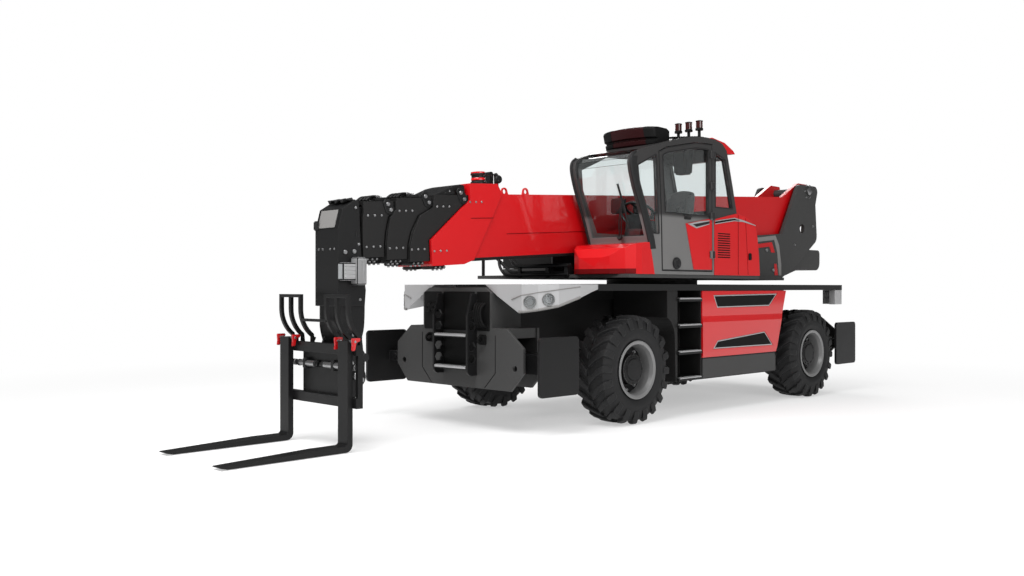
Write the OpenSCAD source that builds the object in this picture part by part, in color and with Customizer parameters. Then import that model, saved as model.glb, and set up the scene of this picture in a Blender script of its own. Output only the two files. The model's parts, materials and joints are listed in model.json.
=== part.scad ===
// Rotating telehandler: wheeled carrier with stabilisers, slewing turret, cab and telescopic boom.
// Millimetres, +X forward, +Y to the left, +Z up, wheels and forks on the ground at z = 0.

/* [Running gear] */
// Distance between the two axles
wheelbase = 3740; // [3560:10:3900]
// Distance between the centre planes of the tyres of one axle
track = 2080; // [2020:10:2120]
// Outside diameter of a tyre over its lugs
tyre_d = 1170; // [1080:10:1200]
// Width of a tyre
tyre_w = 440; // [380:10:460]
// Diameter of the rim flange
rim_d = 610; // [560:5:640]
// Number of lugs on each side of a tyre
lug_n = 20; // [16:1:20]
// Height of the lugs
lug_h = 36; // [24:1:42]
// Radius of an axle tube
axle_r = 95; // [80:5:105]

/* [Carrier] */
// Height of the deck above the ground
deck_top = 1500; // [1460:5:1560]
// Thickness of the deck
deck_t = 70; // [50:5:90]
// Width over the deck
body_w = 2440; // [2380:10:2500]
// Depth of the access steps
step_depth = 320; // [260:10:340]
// Width of the main frame between the wheels
frame_w = 760; // [660:10:800]
// Front stabiliser position, ahead of the slewing axis
front_leg_x = 3020; // [2960:10:3120]
// Rear stabiliser position, behind the slewing axis
rear_leg_x = 2695; // [2690:5:2800]
// Height of the stabiliser beams above the ground
leg_z = 690; // [660:5:720]
// Width of a stabiliser beam
leg_w = 170; // [150:5:190]
// Height of a stabiliser beam
leg_h = 200; // [180:5:220]
// Length of a foot plate
foot_w = 560; // [460:10:600]
// Height of a foot plate
foot_h = 580; // [480:10:600]

/* [Turret] */
// Gap between the deck and the turret floor
slew_gap = 70; // [50:5:100]
// Thickness of the turret floor
floor_t = 40; // [30:5:50]
// Thickness of the boom support plates
cheek_t = 50; // [30:5:60]
// Boom pivot, behind the slewing axis
pivot_back = 3400; // [3300:10:3500]
// Height of the boom pivot above the ground
pivot_z = 2920; // [2880:5:2980]
// Radius of the boom pivot pin
pivot_r = 60; // [45:1:70]
// Gap between the boom and the engine hood
hood_gap = 85; // [70:5:120]
// Height of the engine hood over the turret floor
hood_h = 640; // [560:10:680]

/* [Cab] */
// Gap between the boom and the cab
cab_gap = 75; // [60:5:100]
// Width of the cab
cab_w = 880; // [820:10:900]
// Height of the cab over the turret floor
cab_h = 1600; // [1540:10:1640]
// Length of the cab at its widest
cab_len = 2030; // [1980:10:2060]
// Wall thickness of the cab frame
cab_wall = 50; // [40:2:56]
// Thickness of the window panes
glass_t = 6; // [4:1:8]

/* [Boom] */
// Width of the outer boom tube
boom_w = 520; // [480:10:540]
// Height of the outer boom tube
boom_h = 677; // [640:1:700]
// Length of the outer boom tube
boom_len = 6890; // [6700:10:7000]
// Distance from the front of the carrier to the boom head
head_gap = 1350; // [1250:10:1450]
// Wall thickness of the boom tubes
boom_wall = 12; // [8:1:14]
// Downward slope of the boom on the ground, in degrees
boom_tilt = 3.5; // [3:0.1:4]
// Radius of the lift cylinder barrel
barrel_r = 105; // [85:5:110]

/* [Carriage] */
// Length of a fork
fork_len = 1200; // [1000:20:1400]
// Width of a fork
fork_w = 150; // [120:5:170]
// Thickness of a fork
fork_t = 55; // [45:1:65]
// Distance between the centres of the forks
fork_span = 980; // [800:10:1020]
// Width of the carriage
carriage_w = 1240; // [1200:10:1320]

/* [Hidden] */
$fn = 64;
fit = 0.5;
glide = 0.4;
run = 6;
touch = 1;

axle_x = wheelbase / 2;
axle_z = tyre_d / 2;
wheel_y = track / 2;
king_y = wheel_y - 140;
king_r = 32;
king_h = 140;
lug_t = 36;
rim_r = rim_d / 2;
hub_y = king_y + 105;
hub_r = 160;
spindle_r = 55;

deck_z = deck_top - deck_t;
body_y = body_w / 2;
frame_y = frame_w / 2;
top_t = 100;
frame_z1 = deck_z - top_t;
frame_z0 = frame_z1 - 500;
pedestal_r = 600;
skirt_z = 400;
panel_z = skirt_z + 250;
panel_t = 25;
crease_z = panel_z + 410;
crease_h = 70;
crease_t = 8;
inlay_t = 8;
box_y1 = body_y - panel_t;
box_y0 = frame_y + 40;
box_x0 = -1000;
step_x0 = 640;
step_x1 = 1090;
arch_r = 260;
gearbox_l = 330;
gearbox_w = 300;
shaft_r = 45;
recess_y = body_y - step_depth;

leg_gap = 30;
leg_pitch = leg_w + leg_gap;
leg_wall = 12;
plate_t = 30;
leg_pin_y = 700;
leg_pin_r = 40;
arm_tail = leg_pin_y + 110;
arm_mouth = 960;
beam_w = leg_w - 2 * leg_wall - 2 * glide;
beam_h = leg_h - 2 * leg_wall - 2 * glide;
foot_pin_y = 1130;
foot_pin_r = 28;
foot_y0 = 1236;
foot_t = 30;
foot_corner = 45;
foot_shift = 90;
tongue_w = 60;
tie_y = 880;
tie_z = 660;
tie_r = 32;
tongue_r = 58;
ear_t = 26;
front_face_x = front_leg_x + leg_pitch + leg_w / 2 + 10 + plate_t;
deck_x0 = -rear_leg_x - 245;
deck_x1 = front_leg_x - 540;
lamp_x = front_face_x - 45;
lamp_y = frame_y + 20;
lamp_r = 62;
lamp_t = 50;
wing_slope = 0.56;
deck_r = 240;
lamp_z0 = deck_top - 285;

floor_z0 = deck_top + slew_gap;
floor_z1 = floor_z0 + floor_t;
cheek_y0 = boom_w / 2 + 40;
cheek_y1 = cheek_y0 + cheek_t;
tail_x = -pivot_back - 450;
hood_x0 = -1650;
hood_x1 = 1500;
hood_y0 = -body_y + 5;
hood_y1 = -boom_w / 2 - hood_gap;
tray_h = 90;
hood_wall = 25;
hood_z0 = floor_z1 + tray_h + run;
hood_z1 = floor_z1 + hood_h;
hood_in = hood_y1 - hood_wall - run;
hood_hinge_y = hood_y1 - hood_wall / 2;

cab_y0 = boom_w / 2 + cab_gap;
cab_y1 = cab_y0 + cab_w;
cab_x0 = -100;
door_x0 = cab_x0 + 0.265 * cab_len;
door_t = 42;
hinge_y = cab_y1 + 22;
seat_y = 190;

sec_step_w = 56;
sec_step_h = 62;
collar_len = 240;
collar_gap = 14;
collar_lip = 20;
tube_mid = -80 - boom_h / 2;
head_x = front_face_x + head_gap;
head_lx = (head_x + pivot_back - tube_mid * sin(boom_tilt)) / cos(boom_tilt);
head_z = pivot_z - head_lx * sin(boom_tilt) + tube_mid * cos(boom_tilt);
tube_x1 = head_lx - 3 * (collar_len + collar_gap) - collar_gap;
tube_x0 = tube_x1 - boom_len;
head_w = 380;
head_deep = 270;
tilt_x = head_x + 90;
tilt_z = 640;
tilt_r = 40;

lift_eyes = [5730, 6060];
eye_t = 18;

base_pin_x = -2380;
base_pin_z = floor_z1 + 145;
lift_pin_r = 45;
rod_pin_lx = 3755;
rod_pin_lz = -80 - boom_h - 150;
rod_pin_x = -pivot_back + rod_pin_lx * cos(boom_tilt) + rod_pin_lz * sin(boom_tilt);
rod_pin_z = pivot_z - rod_pin_lx * sin(boom_tilt) + rod_pin_lz * cos(boom_tilt);
lift_dx = rod_pin_x - base_pin_x;
lift_dz = rod_pin_z - base_pin_z;
lift_len = sqrt(lift_dx * lift_dx + lift_dz * lift_dz);
lift_angle = atan2(lift_dz, lift_dx);
eye_w = 120;
eye_r = 78;
rod_r = 62;

bar_x0 = tilt_x + 190;
bar_t = 70;
bar_x1 = bar_x0 + bar_t;
bar_low = 390;
bar_high = 860;
bar_h = 90;
bracket_t = 36;
rest_top = 1400;
rest_reach = 130;
bracket_y0 = head_w / 2 + run;
fork_x0 = bar_x1 + glide;
fork_z0 = 6;
fork_tip = fork_x0 + fork_t + fork_len;

mid_x = (tail_x + fork_tip) / 2;

module place() {
  translate([-mid_x, 0, 0]) children();
}

module block(x0, x1, y0, y1, z0, z1) {
  translate([x0, y0, z0]) cube([x1 - x0, y1 - y0, z1 - z0]);
}

module xz(y0, y1) {
  translate([0, y1, 0]) rotate([90, 0, 0]) linear_extrude(y1 - y0) children();
}

module yz(x0, x1) {
  translate([x0, 0, 0]) rotate([90, 0, 90]) linear_extrude(x1 - x0) children();
}

module xy(z0, z1) {
  translate([0, 0, z0]) linear_extrude(z1 - z0) children();
}

module bar_x(x0, x1, y, z, r) {
  translate([x0, y, z]) rotate([0, 90, 0]) cylinder(r = r, h = x1 - x0);
}

module bar_y(x, y0, y1, z, r) {
  translate([x, y0, z]) rotate([-90, 0, 0]) cylinder(r = r, h = y1 - y0);
}

module bar_z(x, y, z0, z1, r) {
  translate([x, y, z0]) cylinder(r = r, h = z1 - z0);
}

module rod(p, q, r) {
  d = q - p;
  translate(p) rotate([0, acos(d[2] / norm(d)), atan2(d[1], d[0])]) cylinder(r = r, h = norm(d));
}

module hex_y(x, y0, y1, z, r) {
  translate([x, y0, z]) rotate([-90, 0, 0]) cylinder(r = r, h = y1 - y0, $fn = 6);
}

arc_n = 8;
function arc(c, r, a0, a1) = [for (i = [0:arc_n]) let (a = a0 + (a1 - a0) * i / arc_n)
  [c[0] + r * cos(a), c[1] + r * sin(a)]];
function rounded(x0, x1, y0, y1, r) = concat(arc([x1 - r, y1 - r], r, 0, 90), arc([x0 + r, y1 - r], r, 90, 180),
  arc([x0 + r, y0 + r], r, 180, 270), arc([x1 - r, y0 + r], r, 270, 360));

module both() {
  children();
  mirror([0, 1, 0]) children();
}

module leg_bay(base) {
  inner = base - leg_w / 2 - 10;
  outer = base + leg_pitch + leg_w / 2 + 10;
  web_z = leg_z + leg_h / 2 + 40;
  yz(inner - plate_t, inner) polygon([[-780, web_z + 220], [-780, 520], [-690, 430], [690, 430], [780, 520],
    [780, web_z + 220]]);
  difference() {
    yz(outer, outer + plate_t) polygon([[-1000, 860], [-1000, 620], [-820, 430], [820, 430], [1000, 620],
      [1000, 860], [760, web_z + 220], [-760, web_z + 220]]);
    both() bar_x(outer - 10, outer + plate_t + 10, tie_y, tie_z, tie_r);
  }
  block(inner - touch, outer + touch, -760, 760, web_z + 120, web_z + 220);
  bar_x(inner - touch, base + leg_w / 2, -leg_pin_y, leg_z, leg_pin_r);
  bar_x(base + leg_pitch - leg_w / 2, outer + touch, leg_pin_y, leg_z, leg_pin_r);
}

module chassis_frame() {
  front_x1 = front_leg_x - leg_w / 2 - 10 - plate_t;
  rear_x1 = rear_leg_x - leg_w / 2 - 10 - plate_t;
  color("#2b2d30") place() {
    block(-rear_x1, front_x1, -frame_y, frame_y, frame_z0, frame_z1 + touch);
    block(-rear_x1, front_x1, -box_y0, box_y0, frame_z1, deck_z);
    bar_z(0, 0, deck_z, deck_top, pedestal_r);
    bar_z(0, 0, frame_z1, deck_top, box_y0 - touch);
    xz(-gearbox_w / 2, gearbox_w / 2) polygon(concat(arc([gearbox_l - 80, axle_z - 40], 80, 270, 360),
      [[gearbox_l, frame_z0 + touch], [-gearbox_l, frame_z0 + touch]],
      arc([80 - gearbox_l, axle_z - 40], 80, 180, 270)));
  }
}

module front_bay() {
  nose_y = 540;
  nose_z = deck_z + 34;
  clear = 10;
  edge_y = lamp_y + (deck_top - 5 - clear - nose_z) / wing_slope;
  edge_z = deck_top - 5 - clear - (nose_y - lamp_y) * wing_slope;
  color("#2b2d30") place() {
    leg_bay(front_leg_x);
    yz(front_leg_x - leg_w / 2 - 10, front_face_x) polygon([[-nose_y, leg_z + 300], [nose_y, leg_z + 300],
      [nose_y, edge_z], [edge_y, nose_z], [-edge_y, nose_z], [-nose_y, edge_z]]);
  }
}

module rear_bay() {
  color("#2b2d30") place() mirror([1, 0, 0]) leg_bay(rear_leg_x);
}

module deck() {
  rear = [deck_x0 + deck_r, body_y - deck_r];
  color("#1b1c1f") place() difference() {
    xy(deck_z, deck_top) polygon(concat([[deck_x1, -body_y], [deck_x1, body_y]], arc(rear, deck_r, 90, 180),
      arc([rear[0], -rear[1]], deck_r, 180, 270)));
    bar_z(0, 0, deck_z - 10, deck_top + 10, pedestal_r + fit);
  }
}

module side_boxes() {
  color("#3a3c40") place() both() {
    block(box_x0, step_x0, box_y0, box_y1, skirt_z, deck_z);
    block(step_x0 - touch, step_x1, box_y0, recess_y, skirt_z, deck_z);
    xz(box_y0, box_y1) polygon(concat([[step_x1 - touch, deck_z], [step_x1 - touch, skirt_z]],
      [[step_x1 + 30, skirt_z], [step_x1 + 45, skirt_z + 500]],
      arc([step_x1 + arch_r + 45, skirt_z + 500], arch_r, 180, 118), [[step_x1 + 190, deck_z]]));
  }
}

module side_panels() {
  face = body_y - crease_t;
  top = deck_z - run;
  upper = [[step_x0 - 240, deck_z - 54], [box_x0 - 40, deck_z - 40], [box_x0 + 160, deck_z - 200],
    [step_x0 - 320, deck_z - 208]];
  lower = [[step_x0 - 220, panel_z + 90], [step_x0 - 320, panel_z + 190], [box_x0 + 280, panel_z + 265],
    [box_x0 + 80, panel_z + 84]];
  color("#d5131f") place() both() difference() {
    intersection() {
      xz(box_y1, body_y) polygon([[step_x0 - 10, top], [box_x0 - 250, top], [box_x0, panel_z],
        [step_x0 - 20, panel_z]]);
      yz(box_x0 - 300, step_x0) polygon([[box_y1, panel_z], [face, panel_z], [body_y, panel_z + 60],
        [body_y, crease_z], [face, crease_z + crease_h], [face, top], [box_y1, top]]);
    }
    xz(face - inlay_t, body_y + 10) polygon(upper);
    xz(body_y - inlay_t, body_y + 10) polygon(lower);
  }
}

module access_steps() {
  step_n = 4;
  step_rise = 300;
  step_t = 35;
  slot_n = 5;
  slot_w = 22;
  slot_pitch = (step_x1 - step_x0) / (slot_n + 1);
  color("#b9bcc0") place() both() {
    for (i = [0:step_n - 1]) {
      z = skirt_z + 5 + step_rise * i;
      difference() {
        block(step_x0, step_x1 - touch, recess_y, body_y, z, z + step_t);
        for (k = [1:slot_n]) {
          x = step_x0 + slot_pitch * k;
          block(x - slot_w / 2, x + slot_w / 2, body_y - 180, body_y - 45, z - 10, z + step_t + 10);
        }
      }
    }
  }
}

module front_ladder() {
  x1 = front_face_x + 130;
  side_t = 24;
  color("#232427") place() {
    for (y = [-230, 300]) {
      difference() {
        xz(y, y + side_t) polygon(concat([[front_face_x, 1400], [front_face_x, 560]],
          arc([x1 - 60, 620], 60, 270, 360), [[x1, 1180], [x1 - 60, 1400]]));
        for (z = [735, 855, 1065, 1185]) {
          hex_y(front_face_x + 66, y - 10, y + side_t + 10, z, 50);
        }
      }
    }
    for (z = [620, 950]) {
      block(front_face_x + 20, x1, -230, 300 + side_t, z, z + 30);
    }
  }
}

module lamp(p, yaw, grow, out) {
  translate(p) rotate([0, 90, yaw]) translate([0, 0, -lamp_t - grow])
    cylinder(r = lamp_r + grow, h = lamp_t + grow + out);
}

module lamps(grow, out) {
  lamp([lamp_x - 50, body_y - 225, lamp_z0 + 105], 37.6, grow, out);
  lamp([lamp_x - 190, body_y - 105, lamp_z0 + 128], 58.6, grow, out);
}

module corner_housings() {
  plan = [[deck_x1, body_y - 4], [deck_x1, body_y - 90], [lamp_x - 300, lamp_y], [lamp_x, lamp_y],
    [lamp_x + 20, lamp_y + 200], [lamp_x, body_y - 290], [lamp_x - 100, body_y - 160], [lamp_x - 280, body_y - 50],
    [lamp_x - 550, body_y - 4]];
  top = deck_top - 5;
  wing_y = lamp_y + (top - lamp_z0) / wing_slope;
  front = [[lamp_y, top], [body_y, top], [body_y, lamp_z0 - 10], [wing_y, lamp_z0 - 10]];
  sweep = [[lamp_x + 40, top], [lamp_x + 40, lamp_z0], [lamp_x, lamp_z0], [lamp_x - 300, lamp_z0 + 60],
    [lamp_x - 730, lamp_z0 + 205], [deck_x1, deck_top - 55], [deck_x1, top]];
  rear = [deck_x0 + deck_r, body_y - deck_r];
  color("#c4c7ca") place() both() {
    difference() {
      intersection() {
        xy(lamp_z0 - 10, top) polygon(plan);
        yz(deck_x1, lamp_x + 40) polygon(front);
        xz(lamp_y, body_y) polygon(sweep);
      }
      lamps(fit, 60);
    }
    xy(lamp_z0 + 15, deck_z) polygon(concat([[rear[0] + 140, body_y - 90], [rear[0] + 140, body_y - 4]],
      arc(rear, deck_r - 4, 90, 180), [[deck_x0 + 4, rear[1] - 100], [deck_x0 + 90, rear[1] - 100]],
      arc(rear, deck_r - 90, 180, 90)));
  }
}

module headlamps() {
  color("#f2f4f4") place() both() lamps(0, 14);
}

module axle() {
  difference() {
    union() {
      bar_y(0, -king_y + 90, king_y - 90, axle_z, axle_r);
      bar_x(-190, 190, 0, axle_z, 185);
      both() {
        block(-110, 110, 250, 350, axle_z, frame_z0);
        block(-80, 80, king_y - 120, king_y - 80, axle_z - king_h - lug_t - 8, axle_z + king_h + lug_t + 8);
        for (z = [axle_z - king_h - lug_t - 8, axle_z + king_h + 8]) {
          block(-80, 80, king_y - 90, king_y + 50, z, z + lug_t);
        }
      }
    }
    both() bar_z(0, king_y, axle_z - 400, axle_z + 400, king_r + fit);
  }
}

module axles() {
  shaft_x = gearbox_l;
  color("#303236") place() {
    for (s = [-1, 1]) {
      translate([s * axle_x, 0, 0]) axle();
      scale([s, 1, 1]) {
        bar_x(shaft_x, axle_x - 180, 0, axle_z, shaft_r);
        bar_x(shaft_x, shaft_x + 60, 0, axle_z, shaft_r + 35);
        bar_x(axle_x - 250, axle_x - 180, 0, axle_z, shaft_r + 35);
      }
    }
  }
}

module knuckle(x, s) {
  color("#3f4247") place() translate([x, 0, 0]) scale([1, s, 1]) {
    bar_z(0, king_y, axle_z - king_h - lug_t - 8, axle_z + king_h + lug_t + 8, king_r);
    bar_z(0, king_y, axle_z - king_h, axle_z + king_h, 58);
    bar_y(0, king_y, hub_y - run, axle_z, 110);
    bar_y(0, king_y, hub_y + 120, axle_z, spindle_r);
  }
}

lug_cols = [0, 0.1, 0.46, 0.56];
lug_up = [0, 1, 1, 0];
lug_turn = 14;
function tread_row(y, y_up, r, r_up, turn) = [for (i = [0:lug_n - 1]) for (k = [0:3])
  let (a = (i + lug_cols[k]) * 360 / lug_n + turn, u = lug_up[k], q = r + u * (r_up - r))
  [q * cos(a), q * sin(a), y + u * (y_up - y)]];

module tyre(x, s) {
  half = tyre_w / 2;
  r = tyre_d / 2;
  low = r - lug_h;
  bead = rim_r - 18.6;
  turn = 180 / lug_n;
  rows = [tread_row(-half + 40, -half + 40, bead, bead, 0),
    tread_row(-half, -half, r - 150, r - 130, 0),
    tread_row(-half + 36, -half + 14, low - 6, r - 10, 0),
    tread_row(-34, -8, low, r, lug_turn),
    tread_row(0, 0, low, low, lug_turn + turn / 2),
    tread_row(34, 8, low, r, lug_turn + turn),
    tread_row(half - 36, half - 14, low - 6, r - 10, turn),
    tread_row(half, half, r - 150, r - 130, turn),
    tread_row(half - 40, half - 40, bead, bead, turn)];
  n = 4 * lug_n;
  m = len(rows);
  points = [for (row = rows) each row];
  faces = [for (i = [0:m - 1]) for (j = [0:n - 1])
    let (a = i * n + j, b = i * n + (j + 1) % n, c = (i + 1) % m * n + (j + 1) % n, d = (i + 1) % m * n + j)
    each [[a, d, c], [a, c, b]]];
  color("#1d1d1f") place() translate([x, 0, axle_z]) scale([1, s, 1]) translate([0, wheel_y, 0])
    rotate([-90, 0, 0]) polyhedron(points, faces);
}

module rim(x, s) {
  half = tyre_w / 2;
  color("#c9ccd0") place() translate([x, 0, axle_z]) scale([1, s, 1]) rotate([-90, 0, 0]) {
    translate([0, 0, wheel_y]) rotate_extrude() polygon([[rim_r - 20, -half + 24], [rim_r - 20, half - 26],
      [rim_r + 4, half - 20], [rim_r + 8, half - 12], [rim_r - 2, half - 8], [rim_r - 30, half - 16],
      [rim_r - 44, half - 60], [rim_r - 48, 44], [rim_r - 46, -half + 10], [rim_r + 4, -half + 10],
      [rim_r + 4, -half + 20]]);
    difference() {
      union() {
        translate([0, 0, hub_y]) cylinder(r = hub_r, h = 180);
        translate([0, 0, wheel_y + 20]) cylinder(r = rim_r - 40, h = 24);
      }
      translate([0, 0, hub_y - 10]) cylinder(r = spindle_r + fit, h = 140);
    }
  }
}

module leg_arm(base, sx, sy) {
  cx = base + (sy > 0 ? 0 : leg_pitch);
  color("#3a3c40") place() scale([sx, sy, 1]) difference() {
    block(cx - leg_w / 2, cx + leg_w / 2, -arm_tail, arm_mouth, leg_z - leg_h / 2, leg_z + leg_h / 2);
    block(cx - leg_w / 2 + leg_wall, cx + leg_w / 2 - leg_wall, -leg_pin_y + 90, arm_mouth + 10,
      leg_z - leg_h / 2 + leg_wall, leg_z + leg_h / 2 - leg_wall);
    bar_x(cx - leg_w, cx + leg_w, -leg_pin_y, leg_z, leg_pin_r + fit);
  }
}

module leg_beam(base, sx, sy) {
  cx = base + (sy > 0 ? 0 : leg_pitch);
  color("#515459") place() scale([sx, sy, 1]) difference() {
    union() {
      block(cx - beam_w / 2, cx + beam_w / 2, -leg_pin_y + 110, foot_pin_y - tongue_r - 14,
        leg_z - beam_h / 2, leg_z + beam_h / 2);
      block(cx - tongue_w / 2, cx + tongue_w / 2, foot_pin_y - tongue_r - 20, foot_pin_y,
        leg_z - tongue_r, leg_z + tongue_r);
      bar_x(cx - tongue_w / 2, cx + tongue_w / 2, foot_pin_y, leg_z, tongue_r);
    }
    bar_x(cx - leg_w, cx + leg_w, foot_pin_y, leg_z, foot_pin_r + fit);
  }
}

module leg_foot(base, sx, sy) {
  cx = base + (sy > 0 ? 0 : leg_pitch);
  fx = cx + foot_shift;
  pin_half = tongue_w / 2 + run + ear_t + 10;
  color("#26272a") place() scale([sx, sy, 1]) {
    xz(foot_y0, foot_y0 + foot_t) polygon(rounded(fx - foot_w / 2, fx + foot_w / 2, leg_z - foot_h / 2,
      leg_z + foot_h / 2, foot_corner));
    for (x = [cx - tongue_w / 2 - run - ear_t, cx + tongue_w / 2 + run]) {
      block(x, x + ear_t, foot_pin_y, foot_y0 + touch, leg_z - tongue_r, leg_z + tongue_r);
      bar_x(x, x + ear_t, foot_pin_y, leg_z, tongue_r);
    }
    bar_x(cx - pin_half, cx + pin_half, foot_pin_y, leg_z, foot_pin_r);
  }
}

module turret_frame() {
  cheek = concat(arc([-pivot_back + 210, pivot_z - 30], 120, 30, 90),
    arc([-pivot_back - 200, pivot_z], 90, 90, 180),
    [[-pivot_back - 230, pivot_z - 190], [-pivot_back - 270, 2280]], arc([-pivot_back - 150, 2250], 120, 180, 236),
    [[-3140, 1850], [-2650, floor_z1 - touch], [-900, floor_z1 - touch], [-900, floor_z1 + 140], [-1950, 2200],
    [-2650, 2250]]);
  tail = concat([[-2500, 1600], [-2500, 1640], [-3140, 1900], [-3500, 2040]], arc([tail_x + 60, 1980], 60, 90, 180),
    arc([tail_x + 120, 1850], 120, 180, 270), [[-3160, 1730], [-2640, 1600]]);
  color("#46484c") place() {
    bar_z(0, 0, deck_top + glide, floor_z0 + touch, pedestal_r - 20);
    xy(floor_z0, floor_z1) polygon([[1950, body_y - 20], [1950, 20 - body_y], [hood_x0 - 40, 20 - body_y],
      [hood_x0 - 300, -cheek_y1], [-2700, -cheek_y1], [-2700, cheek_y1], [-1000, cheek_y1], [-620, body_y - 20]]);
    difference() {
      both() xz(cheek_y0, cheek_y1) polygon(cheek);
      bar_y(-pivot_back + 170, -2000, 2000, 2350, 70);
    }
    bar_y(-pivot_back, -cheek_y1 - 20, cheek_y1 + 20, pivot_z, pivot_r);
    xz(-cheek_y0 - touch, cheek_y0 + touch) polygon(tail);
    both() xz(eye_w / 2 + 4, eye_w / 2 + 44) polygon(concat([[base_pin_x - 130, floor_z1 - touch],
      [base_pin_x + 130, floor_z1 - touch]], arc([base_pin_x, base_pin_z], 84, 0, 180)));
    bar_y(base_pin_x, -eye_w / 2 - 50, eye_w / 2 + 50, base_pin_z, lift_pin_r);
    difference() {
      block(hood_x0, hood_x1, hood_y0, hood_y1, floor_z1 - touch, floor_z1 + tray_h);
      block(hood_x0 + hood_wall, hood_x1 - hood_wall, hood_y0 + hood_wall, hood_y1 - hood_wall,
        floor_z1 - 2, floor_z1 + tray_h + 10);
    }
    block(hood_x0, hood_x1, hood_y1 - hood_wall, hood_y1, floor_z1 - touch, hood_z1 - 12 - glide);
  }
}

function cab_pt(p) = [cab_x0 + p[0] * cab_len, floor_z1 + p[1] * cab_h];
cab_raw = [[0, 0], [0.803, 0], [0.847, 0.231], [0.887, 0.369], [0.926, 0.481], [0.966, 0.594], [0.99, 0.681],
  [1, 0.744], [0.993, 0.788], [0.961, 0.819], [0.892, 0.85], [0.803, 0.881], [0.714, 0.912], [0.567, 0.963],
  [0.433, 0.992], [0.32, 1], [0.227, 0.997], [0.158, 0.975], [0.113, 0.931], [0.094, 0.856], [0.049, 0.669],
  [0.005, 0.469]];
cab_line = [for (p = cab_raw) cab_pt(p)];
cab_mid = cab_pt([0.45, 0.5]);
cab_k = cab_wall / (cab_h / 2);
function inset(k) = [for (p = cab_line) cab_mid + (p - cab_mid) * (1 - k)];

windscreen_cut = [for (p = [[0.75, 0.262], [1.2, 0.262], [1.2, 0.8], [0.95, 0.88], [0.75, 0.8]]) cab_pt(p)];
rear_cut = [for (p = [[-0.2, 0.5], [0.1, 0.5], [0.16, 0.86], [-0.2, 0.86]]) cab_pt(p)];
right_cut = [for (p = [[0.1, 0.3], [0.8, 0.3], [0.92, 0.6], [0.93, 0.74], [0.7, 0.86], [0.2, 0.9]]) cab_pt(p)];
quarter_cut = [for (p = [[0.765, 0.28], [0.82, 0.28], [0.935, 0.6], [0.95, 0.73], [0.79, 0.82]]) cab_pt(p)];
back_cut = [for (p = [[0.05, 0.5], [0.23, 0.5], [0.23, 0.9], [0.13, 0.86]]) cab_pt(p)];
door_line = [for (p = [[0.265, 0.03], [0.735, 0.03], [0.745, 0.45], [0.765, 0.84], [0.7, 0.875], [0.42, 0.945],
  [0.265, 0.95]]) cab_pt(p)];
door_hole = [for (p = [[0.258, 0.022], [0.741, 0.022], [0.751, 0.45], [0.772, 0.846], [0.703, 0.884],
  [0.421, 0.954], [0.258, 0.96]]) cab_pt(p)];
pane_line = [for (p = [[0.3, 0.43], [0.71, 0.43], [0.735, 0.82], [0.69, 0.845], [0.42, 0.91], [0.3, 0.915]])
  cab_pt(p)];

module cab_frame() {
  pillar = cab_wall + 16;
  color("#5a5d61") place() difference() {
    xz(cab_y0, cab_y1) polygon(cab_line);
    xz(cab_y0 + cab_wall, cab_y1 - cab_wall) polygon(inset(cab_k));
    xz(cab_y0 + pillar, cab_y1 - pillar) polygon(windscreen_cut);
    xz(cab_y0 + pillar, cab_y1 - pillar) polygon(rear_cut);
    xz(cab_y0 - 10, cab_y0 + cab_wall + 10) polygon(right_cut);
    xz(cab_y1 - cab_wall - 10, cab_y1 + 10) polygon(quarter_cut);
    xz(cab_y1 - cab_wall - 10, cab_y1 + 10) polygon(back_cut);
    xz(cab_y1 - cab_wall - 10, cab_y1 + 10) polygon(door_hole);
  }
}

module curved_pane(band) {
  pillar = cab_wall + 16;
  k0 = 0.4 * cab_k;
  xz(cab_y0 + pillar, cab_y1 - pillar) intersection() {
    difference() {
      polygon(inset(k0));
      polygon(inset(k0 + glass_t / (cab_h / 2)));
    }
    polygon(band);
  }
}

module cab_glass() {
  color("#9fb4bd") place() {
    curved_pane(windscreen_cut);
    curved_pane(rear_cut);
    xz(cab_y0 + 20, cab_y0 + 20 + glass_t) polygon(right_cut);
    xz(cab_y1 - 20 - glass_t, cab_y1 - 20) polygon(quarter_cut);
    xz(cab_y1 - 20 - glass_t, cab_y1 - 20) polygon(back_cut);
  }
}

module cab_door() {
  color("#74777b") place() {
    difference() {
      xz(cab_y1 - door_t, cab_y1) polygon(door_line);
      xz(cab_y1 - door_t - 10, cab_y1 + 10) polygon(pane_line);
    }
    for (f = [0.12, 0.4, 0.62, 0.85]) {
      bar_z(door_x0 - 14, hinge_y, floor_z1 + f * cab_h, floor_z1 + f * cab_h + 90, 14);
      block(door_x0 - 14, door_x0 + 50, cab_y1 - 2, hinge_y + 6, floor_z1 + f * cab_h, floor_z1 + f * cab_h + 90);
    }
  }
}

module door_glass() {
  color("#9fb4bd") place() xz(cab_y1 - 24 - glass_t, cab_y1 - 24) polygon(pane_line);
}

module cab_trim() {
  z0 = floor_z1 + cab_k * cab_h / 2;
  ym = (cab_y0 + cab_y1) / 2;
  color("#222326") place() {
    block(420, 980, cab_y0 + cab_wall, cab_y0 + cab_wall + 130, z0, z0 + 560);
    block(350, 950, ym + seat_y + run, ym + seat_y + 126, z0, z0 + 520);
    xz(ym - 110, ym + 110) polygon([[1300, z0], [1440, z0], [1330, z0 + 640], [1240, z0 + 640]]);
    translate([1260, ym, z0 + 640]) rotate([0, -28, 0]) cylinder(r = 45, h = 60);
    translate([1240, ym, z0 + 690]) rotate([0, -28, 0]) rotate_extrude() translate([165, 0]) circle(r = 16);
    translate([1240, ym, z0 + 690]) rotate([0, -28, 0]) block(-165, 165, -16, 16, -10, 10);
  }
}

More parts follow.
